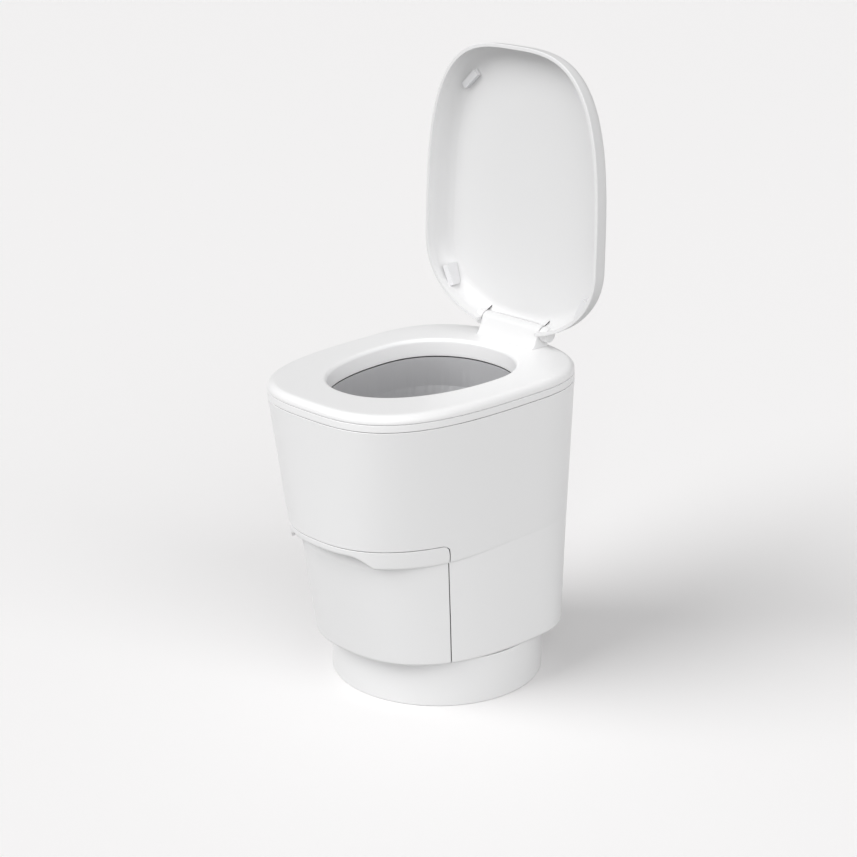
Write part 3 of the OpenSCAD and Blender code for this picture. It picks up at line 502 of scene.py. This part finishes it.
@dataclass(frozen=True)
class Body:
    """The tapered housing with its shelf, its collar and the pull-out flap."""

    half_width: float = 185.0
    front: float = 275.0
    rear: float = 203.0
    collar_z: float = 485.0
    collar_h: float = 12.0
    collar_opening: Section = Section(151.0, 232.0, 151.0, 2.2, 2.2)
    bottom_z: float = 80.0
    shelf_z: float = 256.0
    shelf_depth: float = 25.0
    shelf_rise: float = 10.0
    shelf_edge: float = 5.0
    front_taper: float = 16.5
    side_taper: float = 9.0
    lower_taper: float = 31.5
    flap_top: float = 286.0
    flap_side: float = 115.0
    flap_lean: float = 4.0
    flap_corner: float = 12.0
    seam: float = 1.2
    edge: float = 0.8
    wall: float = 2.0
    lip: float = 20.0
    lower_edge: float = 5.0
    knee_z: float = 289.0
    grip_low: float = 244.0
    grip_z: float = 273.6
    grip_flat: float = 60.0
    grip_end: float = 93.0
    grip_scoop: float = 12.0
    plate_inset: float = 2.2
    rib_x: float = 70.0
    rib_wall: float = 12.0
    rib_low: float = 92.0
    rib_high: float = 137.0
    rib_back: float = -156.2
    ear_y: float = 197.0
    ear_z: float = 504.0
    ear_radius: float = 5.5
    ear_low: float = 32.0
    ear_high: float = 44.0
    spacing: float = 2.2

    def top(self) -> Section:
        """Returns the outline at the collar."""
        return Section(self.half_width, self.front, self.rear, 3.1, 2.6, 30.0)

    def upper(self, z: float) -> Section:
        """Returns the outline of the upper body at a height."""
        knee = Section(self.half_width - self.side_taper, self.front - self.front_taper, self.rear - 7.5,
                       2.5, 2.7, 32.0)
        return self.top().mix(knee, (self.collar_z - z) / (self.collar_z - self.flap_top))

    def lower(self, z: float) -> Section:
        """Returns the outline of the lower body at a height.

        Args:
            z: The height.

        Returns:
            The outline, mixed straight between the shelf's and the bottom's.
        """
        shelf = self.upper(self.shelf_z)
        start = Section(shelf.half_width, shelf.front - self.shelf_depth, shelf.rear, 2.5, shelf.rear_power,
                        shelf.middle)
        end = Section(start.half_width + 2, start.front - self.lower_taper, start.rear - 13, 2.5, 2.45, 55.0)
        return start.mix(end, (self.shelf_z - z) / (self.shelf_z - self.bottom_z))

    def skin(self) -> Skin:
        """Makes the whole outer surface, from the lip under the body to the collar's seam.

        Each row is the lower outline moved out towards the upper one, at a height. At the finger recess the
        shelf's corner is raised and the lower surface scooped in behind it.

        Returns:
            The open surface.
        """
        angles = even_angles(self.top(), self.spacing, [(self.grip_flat - 6, self.grip_end + 3, 0.8)])
        outline = self.upper(self.shelf_z).outline(angles)
        x, y = np.abs(outline[:, 0]), outline[:, 1]
        at_front = y < -self.flap_side - 15
        share = np.where(at_front, np.clip((self.grip_end - x) / (self.grip_end - self.grip_flat), 0, 1), 0.0)
        raised = 1 - (1 - share) ** 1.7
        rise = self.shelf_rise * smooth(y, -170.0, 20.0)
        corner = self.shelf_z - 0.5 + rise + (self.grip_z - self.shelf_z + 0.5) * raised
        scoop = self.grip_scoop * raised ** 1.5
        step = self.lower(self.shelf_z).outline(angles) - outline
        depth = np.maximum(np.linalg.norm(step, axis=1), 1e-3)
        inner = np.minimum(3.0, (depth + scoop) * 0.5)
        outer = np.minimum(self.shelf_edge, (depth + scoop) * 0.45)
        rows: list[tuple[Array, Array]] = []
        count = len(angles)

        def row(inset: Array | float, z: Array | float) -> None:
            """Adds a row: how far out from the lower surface, and how high."""
            rows.append(tuple(np.broadcast_to(value, count).astype(float) for value in (inset, z)))

        for inset in (-self.lip, -15.0, -10.0):
            row(inset, self.bottom_z)
        for a, z in arc((-self.lower_edge, self.bottom_z + self.lower_edge), self.lower_edge, -90, 0, 6):
            row(a, z)
        for z in np.linspace(self.bottom_z + self.lower_edge, self.grip_low, 13)[1:]:
            row(0.0, z)
        base = corner - 3.2
        for share_up in np.linspace(0, 1, 9)[1:]:
            row(-scoop * share_up ** 1.6, self.grip_low + (base - self.grip_low) * share_up)
        for t in (0.25, 0.5, 0.75, 1.0):
            row(-scoop + inner * t * t, base + 3.2 * (1 - (1 - t) ** 2))
        for t in (0.33, 0.67):
            start, end = inner - scoop, depth - outer
            row(start + (end - start) * t, corner + 0.02 * t)
        for t in (0.0, 0.17, 0.33, 0.5, 0.67, 0.83, 1.0):
            row(depth - outer * (1 - t) ** 2, corner + 0.04 + outer * t * t)
        top_start = corner + outer + 0.1
        for share_up in (0.33, 0.67, 1.0):
            row(depth, top_start + (self.knee_z - top_start) * share_up)
        for z in np.linspace(self.knee_z, self.collar_z - self.edge, 15)[1:]:
            row(depth, z)
        grid = np.array([self.place(angles, inset, z, depth) for inset, z in rows])
        return Skin.from_grid(grid)

    def place(self, angles: Array, inset: Array, z: Array, depth: Array) -> Array:
        """Returns points between the lower and the upper surface, or behind the lower one.

        Args:
            angles: The columns' parameters.
            inset: How far out from the lower surface, or behind it where negative.
            z: Heights.
            depth: How far the upper surface stands out over the lower one.

        Returns:
            The points: both surfaces run straight up, and inset over depth is the share between them.
        """
        low = np.array([self.lower(self.bottom_z).outline(angles), self.lower(self.shelf_z).outline(angles)])
        high = np.array([self.upper(self.shelf_z).outline(angles), self.upper(self.collar_z).outline(angles)])
        low_share = ((z - self.bottom_z) / (self.shelf_z - self.bottom_z))[:, None]
        high_share = ((z - self.shelf_z) / (self.collar_z - self.shelf_z))[:, None]
        lower = low[0] + (low[1] - low[0]) * low_share
        upper = high[0] + (high[1] - high[0]) * high_share
        share = (np.maximum(inset, 0) / depth)[:, None]
        flat = lower + (upper - lower) * share + facing(lower) * np.minimum(inset, 0)[:, None]
        return np.column_stack([flat, z])

    def seam_y(self, z: Array | float) -> Array | float:
        """Returns where the flap's leaning side seam runs at a height."""
        return -self.flap_side - (z - self.bottom_z) * math.tan(math.radians(self.flap_lean))

    def from_seam(self, points: Array) -> Array:
        """Returns each point's distance from the flap's seam, seen from the side, positive on the shell.

        Args:
            points: The points.

        Returns:
            The distance from a rounded corner: from its centre, less its radius.
        """
        lean = math.cos(math.radians(self.flap_lean))
        y = (points[:, 1] - self.seam_y(points[:, 2])) * lean + self.flap_corner
        z = points[:, 2] - self.flap_top + self.flap_corner
        corner = np.hypot(np.maximum(y, 0), np.maximum(z, 0))
        return corner + np.minimum(np.maximum(y, z), 0) - self.flap_corner

    def plate(self, section: Section, low: float, high: float, cut: float) -> Skin:
        """Returns a level plate that fills a section in front of the flap's side seams.

        Args:
            section: Its outline.
            low: Its lower height.
            high: Its upper height.
            cut: Where it ends along Y.

        Returns:
            The closed plate.
        """
        outline = section.outline(np.linspace(math.pi, 2 * math.pi, 241))
        outline = outline[outline[:, 1] < cut]
        rows = np.concatenate([[[outline[0, 0], cut]], outline, [[outline[-1, 0], cut]]])
        return prism(rows, low, high, 0.6)

    def build(self) -> None:
        """Makes the shell, the flap and the collar."""
        whole = self.skin()
        away = self.from_seam(whole.points)
        gap = self.seam / 2 + self.edge
        shell = whole.clipped(away - gap).thickened(self.wall, self.edge)
        make_piece("body_shell", shell, WHITE, "housing", ["main_shell"])
        front = whole.clipped(-away - gap).thickened(self.wall, self.edge)
        make_piece("flap_skin", front, WHITE, "drawer", ["front_flap"])
        roof_z, floor_z = self.flap_top - 1.0, self.bottom_z + 3.0
        roof = self.plate(self.upper(roof_z - 3.0).shrink(self.plate_inset), roof_z - 2.4, roof_z,
                          self.seam_y(self.flap_top) - self.seam)
        floor = self.plate(self.lower(floor_z + 2.0).shrink(self.plate_inset), floor_z - 2.6, floor_z,
                           self.seam_y(floor_z) - self.seam)
        make_piece("flap_plates", roof.joined(floor), WHITE, "drawer")
        self.ribs()
        self.collar()
        self.ears()

    def ribs(self) -> None:
        """Makes the two ribs that tie the flap to the tray."""
        low = self.lower(self.rib_low + 3.0).outline(np.linspace(math.pi, 2 * math.pi, 721))
        reach = np.interp(self.rib_x, low[:, 0], low[:, 1]) + 2.6
        rib = box_skin((self.rib_x - self.rib_wall / 2, reach, self.rib_low),
                       (self.rib_x + self.rib_wall / 2, self.rib_back, self.rib_high), 0.6)
        make_piece("flap_ribs", rib.mirrored().joined(rib), WHITE, "drawer")

    def collar(self) -> None:
        """Makes the collar ring between the two seams."""
        angles = even_angles(self.top(), self.spacing)
        outer, inner = self.top(), self.collar_opening
        low, high, edge = self.collar_z + 1.0, self.collar_z + self.collar_h, self.edge
        rows = [(0.0, a, z) for a, z in reversed(arc((edge, low + edge), edge, 180, 270, 4))]
        rows += [(0.0, 0.0, z) for z in np.linspace(low + edge, high - edge, 4)[1:-1]]
        rows += [(0.0, a, z) for a, z in reversed(arc((edge, high - edge), edge, 90, 180, 4))]
        rows += [(0.5, 0.0, high), (1.0, -edge, high), (1.0, 0.0, high - edge), (1.0, 0.0, low + edge),
                 (1.0, -edge, low), (0.5, 0.0, low)]
        foot, head = self.collar_z + 0.05, low + 0.5
        neck = [(0.0, 2.0, foot), (0.0, 2.0, head), (0.5, 0.0, head), (1.0, 0.0, head), (1.0, 0.0, foot),
                (0.5, 0.0, foot)]
        ring = ring_skin(outer, inner, angles, rows).joined(ring_skin(outer, inner, angles, neck))
        make_piece("collar_ring", ring, WHITE, "housing", ["collar"])

    def ears(self) -> None:
        """Makes the two ears that the seat tilts on."""
        base = [(self.ear_y + side * self.ear_radius, self.collar_z + 8) for side in (-1, 1)]
        profile = np.array(base + arc((self.ear_y, self.ear_z), self.ear_radius, 0, 180, 20))
        ear = bar(profile, self.ear_low, self.ear_high, 0.6)
        make_piece("seat_ears", ear.joined(ear.mirrored()), WHITE, "housing")


def ring_skin(outer: Section, inner: Section, angles: Array, rows: Sequence[Triple]) -> Skin:
    """A closed ring between two outlines.

    Args:
        outer: The outer outline.
        inner: The inner outline.
        angles: The columns' parameters.
        rows: Once round the ring's section, up the outside first: (share of the way in, inset from the outer
            outline at 0 or from the inner one at 1, height).

    Returns:
        The closed ring.
    """
    grid = []
    for share, inset, z in rows:
        out_line = outer.shrink(inset if share < 0.5 else 0).outline(angles)
        in_line = inner.shrink(inset if share >= 0.5 else 0).outline(angles)
        flat = out_line + (in_line - out_line) * share
        grid.append(np.column_stack([flat, np.full(len(flat), z)]))
    return Skin.from_grid(np.array(grid), ring=True).facing_out()


def prism(outline: Array, low: float, high: float, edge: float) -> Skin:
    """An upright solid with rounded upper and lower edges.

    Args:
        outline: Its outline as (x, y) rows, counter-clockwise.
        low: Its lower height.
        high: Its upper height.
        edge: Radius of its edges.

    Returns:
        The closed solid: a bar along X, with its axes passed on by one.
    """
    skin = bar(outline, low, high, edge, 2)
    order = [1, 2, 0]
    return Skin(skin.points[:, order], skin.normals[:, order], skin.faces).facing_out()


def box_skin(low: Triple, high: Triple, edge: float) -> Skin:
    """A box with rounded upright and end edges.

    Args:
        low: Its lowest corner.
        high: Its highest corner.
        edge: Radius of its edges.

    Returns:
        The closed box.
    """
    x0, y0, z0 = low
    x1, y1, z1 = high
    outline = []
    for cx, cy, start in ((x1 - edge, y1 - edge, 0), (x0 + edge, y1 - edge, 90),
                          (x0 + edge, y0 + edge, 180), (x1 - edge, y0 + edge, 270)):
        outline += arc((cx, cy), edge, start, start + 90, 3)
    return prism(np.array(outline), z0, z1, edge)


# The seat

@dataclass(frozen=True)
class Seat:
    """The tilting seat ring with its hinge block."""

    outer: Section = Section(185.0, 275.0, 203.0, 3.1, 2.6, 30.0)
    opening: Section = Section(119.0, 200.0, 119.0, 2.2, 2.2)
    bottom: float = 497.4
    top: float = 511.0
    skirt: float = 482.0
    edge: float = 11.0
    lower_edge: float = 1.5
    inner_edge: float = 6.0
    tilt_y: float = 197.0
    tilt_z: float = 504.0
    roll: float = 6.7
    slot: float = 9.5
    ear_low: float = 31.7
    ear_high: float = 44.3
    hinge_y: float = 176.0
    hinge_z: float = 533.5
    barrel: float = 13.0
    block: float = 62.0

    def build(self) -> None:
        """Makes the ring and the block."""
        bands = [(x - 0.6, x + 0.6, 0.25) for x in (self.ear_low, self.ear_high)]
        angles = even_angles(self.outer, 2.2, bands)
        foot = arc((self.lower_edge, self.bottom + self.lower_edge), self.lower_edge, 180, 270, 4)
        shoulder = arc((self.edge, self.top - self.edge), self.edge, 90, 180, 9)
        brim = arc((0.0, self.top - self.inner_edge), self.inner_edge, 0, 90, 7)
        rows = [(0.0, a, z) for a, z in foot[::-1] + shoulder[::-1]]
        rows += [(share, 0.0, self.top) for share in (0.3, 0.45, 0.62, 0.78)]
        rows += [(1.0, a - self.inner_edge, z) for a, z in brim[::-1]]
        rows += [(1.0, 0.0, z) for z in (500.0, 494.0, 488.0, self.skirt + 0.8)]
        rows += [(1.0, -0.8, self.skirt), (1.0, -2.4, self.skirt), (1.0, -3.0, self.skirt + 0.8),
                 (1.0, -3.0, self.bottom), (0.6, 0.0, self.bottom), (0.3, 0.0, self.bottom)]
        ring = ring_skin(self.outer, self.opening, angles, rows)
        ring = ring.moved(self.relieved, lambda normals: normals)
        make_piece("seat_skin", ring, WHITE, "seat", ["seat_ring"])
        # The hinge block takes the darker white, as painted shade for the shade that it sits in.
        make_piece("hinge_cover", self.cover(), PAINTED_SHADE_WHITE, "seat", ["hinge_block"])

    def relieved(self, points: Array) -> Array:
        """Returns the points with room for the tilt axis: a rounded lower rear edge and slots for the ears.

        Args:
            points: The ring's points.

        Returns:
            The points, those under and behind the axis drawn to a circle round it.
        """
        moved = points.copy()
        y, z = moved[:, 1] - self.tilt_y, moved[:, 2] - self.tilt_z
        away = np.hypot(y, z)
        under = (y > 0) & (z < 0) & (away > self.roll)
        moved[under, 1] = self.tilt_y + y[under] * self.roll / away[under]
        moved[under, 2] = self.tilt_z + z[under] * self.roll / away[under]
        across = np.abs(moved[:, 0])
        slot_y = self.tilt_y - self.slot
        slot = (across > self.ear_low) & (across < self.ear_high) & (moved[:, 1] > slot_y)
        moved[slot, 1] = slot_y
        return moved

    def cover(self) -> Skin:
        """Makes the hinge block: a parabola out of the seat, a straight ramp and a round barrel.

        Returns:
            The closed block.
        """
        y, z, r = self.hinge_y, self.hinge_z, self.barrel
        floor = self.top - 0.4
        toe, lift = y - r * 2 - 2.0, (y - r * 2 + 5.5, floor + 6.0)
        ramp_top = (y - r * 0.94, z + r * 0.34)
        base = [(toe + (lift[0] - toe) * t, floor + (lift[1] - floor) * t * t) for t in np.linspace(0, 1, 8)]
        ramp = [tuple(np.add(lift, np.subtract(ramp_top, lift) * t)) for t in np.linspace(0, 1, 6)[1:-1]]
        over = arc((y, z), r, 160, 0, 24)
        rear = [(y + r - 2.0 * t, z + (floor - z) * t) for t in np.linspace(0, 1, 6)[1:]]
        profile = np.array((base + ramp + over + rear)[::-1])
        ease = smooth(profile[:, 1] - floor, 0.5, 6.0)
        return bar(profile, -self.block, self.block, 2.0, 4, ease, (y, floor + 1.5))


# The lid

@dataclass(frozen=True)
class Lid:
    """The dished lid, built closed and turned open about its hinge."""

    rim: Section = Section(185.0, 275.0, 184.0, 3.2, 2.1, 55.0)
    rim_z: float = 511.6
    height: float = 41.0
    wall: float = 3.0
    rim_wall: float = 6.0
    edge: float = 1.6
    draft: float = 0.8
    corner: float = 30.0
    open_degrees: float = 91.0
    hinge_y: float = 176.0
    hinge_z: float = 533.5
    barrel: float = 13.0
    notch: float = 63.5
    notch_front: float = 24.0
    notch_step: float = 8.0
    arm: float = 14.0
    ear_reach: float = 34.0

    def opened(self, points: Array) -> Array:
        """Returns points of the closed lid where they lie when it is open."""
        centre = np.array([0.0, self.hinge_y, self.hinge_z])
        return self.turned(points - centre) + centre

    def turned(self, vectors: Array) -> Array:
        """Returns directions on the closed lid as they point when it is open.

        Args:
            vectors: The directions, as rows.

        Returns:
            The rows, turned about X.
        """
        angle = math.radians(-self.open_degrees)
        cos, sin = math.cos(angle), math.sin(angle)
        spin = np.array([[1, 0, 0], [0, cos, -sin], [0, sin, cos]])
        return vectors @ spin.T

    def levels(self) -> list[Point]:
        """Lists the rows from the rim up to the crown's flat: a straight side and a quarter circle.

        Returns:
            Each row's inset and height.
        """
        side = self.height - self.corner
        rows = [(self.draft * k / 4, self.rim_z + self.edge + (side - self.edge) * k / 4) for k in range(5)]
        corner = arc((self.draft + self.corner, self.rim_z + side), self.corner, 180, 90, 12)
        return rows + corner[1:]

    def outside(self, angles: Array) -> Skin:
        """Returns the outer surface from the rim to the middle of the crown.

        Args:
            angles: The columns' parameters.

        Returns:
            The open surface, its flat drawn straight to the middle.
        """
        grid = [np.column_stack([self.rim.shrink(inset).outline(angles), np.full(len(angles), z)])
                for inset, z in self.levels()]
        edge_row = grid[-1]
        middle = np.array([0.0, -55.0, edge_row[0, 2]])
        for share in (0.12, 0.3, 0.5, 0.7, 0.87, 0.96):
            grid.append(edge_row + (middle - edge_row) * share)
        return Skin.from_grid(np.array(grid), capped=True)

    def away_from_hinge(self, points: Array) -> Array:
        """Returns how far each point lies outside the notch for the hinge block, negative inside it.

        Args:
            points: The points, with the lid closed.

        Returns:
            The distance from a low box, a box behind and the barrel's circle, joined within the notch.
        """
        x = np.abs(points[:, 0]) - self.notch
        y, z = points[:, 1] - self.hinge_y, points[:, 2] - self.hinge_z
        below = np.maximum(-self.notch_front - y, z)
        behind = -self.notch_step - y
        barrel = np.hypot(y, z) - self.barrel - 1.0
        return np.maximum(x, np.minimum(np.minimum(below, behind), barrel))

    def build(self) -> None:
        """Makes the shell and its knuckles."""
        bands = [(self.notch - 1.5, self.notch + 1.5, 0.6)]
        angles = even_angles(self.rim, 2.2, bands)
        outer = self.outside(angles)
        shell = outer.clipped(self.away_from_hinge(outer.points) - self.edge)
        upward = smooth(shell.points[:, 2], self.rim_z + 6, self.rim_z + 20)
        closed = shell.thickened(self.rim_wall + (self.wall - self.rim_wall) * upward, self.edge)
        pieces = (("lid_skin", closed, "lid_shell"), ("lid_knuckles", self.knuckles(), "lid_arms"))
        for name, skin, node in pieces:
            # The lid takes the darker white, as painted shade for the shade on its inside.
            make_piece(name, skin.moved(self.opened, self.turned), PAINTED_SHADE_WHITE, "lid", [node])

    def behind_at(self, x: float, z: Array, depth: float) -> Array:
        """Returns how far back a layer at a depth in the shell runs, round the corner's quarter circle."""
        lift = np.clip((z - self.rim_z - self.height + self.corner) / self.corner, 0, 1)
        return self.rim.shrink(self.draft + self.corner * (1 - np.sqrt(1 - lift ** 2)) + depth).rear_at(x)

    def knuckles(self) -> Skin:
        """Makes the two ears that carry the hinge pins.

        Each has a round end and a swelling: the lid's floor, lowered to the barrel by a smooth step to the
        rear, which another one fades out sideways. The swelling ends inside the lid's wall.

        Returns:
            Both ears, with the lid closed.
        """
        hub = bar(np.array(arc((self.hinge_y, self.hinge_z), self.barrel - 1.0, 0, 352.5, 47)),
                  self.notch, self.notch + self.arm, 1.2)
        floor = self.rim_z + self.height - self.wall
        drop = self.hinge_z - self.barrel + 0.5 - floor
        far = self.notch + self.ear_reach
        x = np.concatenate([[self.notch], np.linspace(self.notch, far, 30), [far]])
        share = np.linspace(0, 1, 31)
        start = self.hinge_y - self.notch_front
        grid = []
        for number, side in enumerate(x):
            y = start + (self.rim.shrink(2.5).rear_at(side) - start) * share
            fade = 0 if number in (0, len(x) - 1) else 1 - smooth(side, self.notch + 12, far)
            z = floor + 1.0 + drop * smooth(y, self.hinge_y - 19, self.hinge_y - 5) * fade
            y = np.minimum(y, self.behind_at(side, z, self.wall * 0.6) + 0.5 * share)
            grid.append(np.column_stack([np.full(len(y), side), y, z]))
        points = np.array(grid)
        rows, columns = points.shape[:2]
        along = np.gradient(points, axis=1)
        across = np.gradient(points[1:-1], axis=0)
        normals = np.empty_like(points)
        normals[1:-1] = unit(np.cross(along[1:-1], across))
        normals[0], normals[-1] = (-1.0, 0.0, 0.0), (0.0, 0.0, -1.0)
        index = np.arange(rows * columns).reshape(rows, columns)
        faces = quads(index[:-1, :-1], index[:-1, 1:], index[1:, 1:], index[1:, :-1])
        normals = np.where(normals[..., 2:] > 0, -normals, normals)
        ear = Skin(points.reshape(-1, 3), normals.reshape(-1, 3), faces).joined(hub)
        return ear.joined(ear.mirrored())


# The lining

@dataclass(frozen=True)
class Lining:
    """The grey film that hangs in the bowl and is drawn down between the jaws."""

    opening: Section = Section(119.0, 200.0, 119.0, 2.2, 2.2)
    throat: Section = Section(90.0, 44.0, 32.0, 2.4, 2.4)
    flat: Section = Section(92.0, 0.8, 0.8, 3.0, 3.0)
    rim_z: float = 480.0
    funnel_z: float = 432.7
    throat_z: float = 330.0
    jaw_z: float = 317.0
    end_z: float = 239.0
    gap: float = 1.0
    waves: tuple[tuple[float, ...], ...] = ((0.5, 38, 0, 0.02), (0.35, 61, 1.7, 0), (0.3, 17, 0.6, 0))

    def build(self) -> None:
        """Makes the hanging film.

        Its outline passes from the opening's to the throat's, then to the flat one at the jaws. The creases
        are a sum of cosine waves round it, each (height, count, phase, twist with height).
        """
        angles = even_angles(self.opening, 2.0)
        upper = [(self.rim_z, self.opening.shrink(-1)), (self.rim_z - 8, self.opening.shrink(0.2)),
                 (self.funnel_z, self.opening.shrink(self.gap))]
        up = np.linspace(1, 0, 41)
        blends = np.interp(up, [0.0, 0.3, 0.65, 1.0], [0.0, 0.42, 0.78, 1.0])
        heights = self.throat_z + (self.funnel_z - self.throat_z) * up
        rows = [(z, self.throat.mix(self.opening, t).shrink(self.gap)) for z, t in zip(heights, blends)]
        low = [(self.throat_z - (self.throat_z - self.jaw_z) * k / 8,
                self.throat.shrink(self.gap).mix(self.flat, k / 8)) for k in range(1, 9)]
        tail = [(self.jaw_z - 20, self.flat), (self.end_z, self.flat)]
        levels = (upper + rows + low + tail)[::-1]
        grid = []
        for z, section in levels:
            points = section.outline(angles)
            depth = smooth(self.rim_z - z, 4.0, 60.0) * smooth(z, self.jaw_z, self.jaw_z + 40)
            crease = sum(high * np.cos(angles * count + phase + twist * z)
                         for high, count, phase, twist in self.waves) * depth
            points = points - facing(points) * (1.1 + crease)[:, None] * depth
            grid.append(np.column_stack([points, np.full(len(points), z)]))
        skin = Skin.from_grid(np.array(grid))
        make_piece("hanging_film", skin.thickened(0.5, 0.1, 1), FILM, "housing", ["liner_film"])


# The plinth

@dataclass(frozen=True)
class Plinth:
    """The round foot that the body swivels on."""

    radius: float = 171.0
    wall: float = 4.0
    height: float = 78.0
    edge: float = 1.5

    def build(self) -> None:
        """Makes the wall: its section's radii and heights, carried once round."""
        inside = self.radius - self.wall
        section = arc((self.radius - self.edge, self.edge), self.edge, 270, 360, 4)
        section += arc((self.radius - self.edge, self.height - self.edge), self.edge, 0, 90, 4)
        section += [(inside + 0.5, self.height), (inside, self.height - 0.5)]
        section += [(inside, 0.5), (inside + 0.5, 0.0)]
        angles = np.linspace(0, 2 * math.pi, 360, endpoint=False)
        radius, z = np.array(section).T[:, :, None]
        grid = np.stack(np.broadcast_arrays(radius * np.cos(angles), radius * np.sin(angles), z), axis=-1)
        wall = Skin.from_grid(grid, ring=True).facing_out()
        make_piece("plinth_wall", wall, WHITE, "base", ["floor_plinth"])


# The studio

@dataclass(frozen=True)
class Lamp:
    """A far, wide light: the direction to it, how many degrees wide it is and how strong."""

    name: str
    toward: Triple
    spread: float
    strength: float

    def hang(self) -> None:
        """Adds the light to the scene."""
        data = bpy.data.lights.new(self.name, "SUN")
        data.angle = math.radians(self.spread)
        data.energy = self.strength
        light = bpy.data.objects.new(self.name, data)
        light.rotation_euler = Vector([-v for v in self.toward]).to_track_quat("-Z", "Y").to_euler()
        bpy.context.scene.collection.objects.link(light)


@dataclass(frozen=True)
class Studio:
    """The pale floor, the soft lights and the camera of the photograph."""

    camera_at: Triple = (2186.1, -2181.4, 1503.8)
    yaw: float = 0.791
    pitch: float = 0.343
    lens: float = 87.23
    floor_half: float = 30.0
    floor_color: Triple = (0.96, 0.952, 0.952)
    floor_bounce: float = 0.28
    surround: float = 0.36
    lamps: tuple[Lamp, ...] = (Lamp("front", (-0.28, -0.65, 0.58), 45.0, 1.95),
                               Lamp("right", (0.9, -0.3, 0.32), 70.0, 1.8))

    def build(self) -> None:
        """Makes the floor, the lights and the camera."""
        self.floor()
        self.lights()
        self.camera()

    def camera(self) -> None:
        """Places the camera as the photograph's."""
        right = np.array([math.cos(self.yaw), math.sin(self.yaw), 0.0])
        back = np.array([math.sin(self.yaw), -math.cos(self.yaw), 0.0])
        ahead = -back * math.cos(self.pitch) - np.array([0.0, 0.0, math.sin(self.pitch)])
        up = np.cross(right, ahead)
        data = bpy.data.cameras.new("camera")
        data.sensor_width = 36.0
        data.lens = self.lens
        data.clip_end = 50.0
        camera = bpy.data.objects.new("camera", data)
        columns = np.column_stack([right, up, -ahead])
        matrix = Matrix(columns.tolist()).to_4x4()
        matrix.translation = Vector([v * MM for v in self.camera_at])
        camera.matrix_world = matrix
        bpy.context.scene.collection.objects.link(camera)
        bpy.context.scene.camera = camera

    def floor(self) -> None:
        """Makes a wide pale floor that is seen lighter than the light that it throws back."""
        half = self.floor_half
        mesh = bpy.data.meshes.new("floor")
        mesh.from_pydata([(-half, -half, 0), (half, -half, 0), (half, half, 0), (-half, half, 0)], [],
                         [(0, 1, 2, 3)])
        floor = bpy.data.objects.new("floor", mesh)
        bpy.context.scene.collection.objects.link(floor)
        material = bpy.data.materials.new("floor")
        material.use_nodes = True
        nodes, links = material.node_tree.nodes, material.node_tree.links
        shader = nodes["Principled BSDF"]
        shader.inputs["Roughness"].default_value = 0.7
        shader.inputs["Specular IOR Level"].default_value = 0.1
        path = nodes.new("ShaderNodeLightPath")
        seen = path.outputs["Is Camera Ray"]
        for ray in ("Is Glossy Ray", "Is Transmission Ray"):
            either = nodes.new("ShaderNodeMath")
            either.operation = "MAXIMUM"
            links.new(seen, either.inputs[0])
            links.new(path.outputs[ray], either.inputs[1])
            seen = either.outputs["Value"]
        tone = nodes.new("ShaderNodeMix")
        tone.data_type = "RGBA"
        tone.inputs["A"].default_value = (*[self.floor_bounce] * 3, 1.0)
        tone.inputs["B"].default_value = (*self.floor_color, 1.0)
        links.new(seen, tone.inputs["Factor"])
        links.new(tone.outputs["Result"], shader.inputs["Base Color"])
        mesh.materials.append(material)

    def lights(self) -> None:
        """Hangs the lamps and sets the surround."""
        for lamp in self.lamps:
            lamp.hang()
        world = bpy.data.worlds.new("surround")
        world.use_nodes = True
        surround = world.node_tree.nodes["Background"]
        surround.inputs["Color"].default_value = (1.0, 0.995, 0.995, 1.0)
        surround.inputs["Strength"].default_value = self.surround
        bpy.context.scene.world = world
        bpy.context.scene.view_settings.view_transform = "Standard"


def dress_nodes(frame: dict) -> None:
    """Gives every CAD node the finish of its record slot.
    """
    by_slot = {finish.slot.value: finish for finish in FINISHES}
    for row in frame["record"]["subparts"]:
        node = frame["nodes"][row["node"]]
        finish = by_slot[row["material_slot"]]
        node.data.materials.clear()
        node.data.materials.append(finish.material())


def main() -> None:
    """Builds the scene in order."""
    logging.basicConfig(level=logging.INFO, format="%(message)s")
    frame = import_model()
    dress_nodes(frame)
    Studio().build()
    Plinth().build()
    Body().build()
    Seat().build()
    Lid().build()
    Lining().build()


if __name__ == "__main__":
    main()
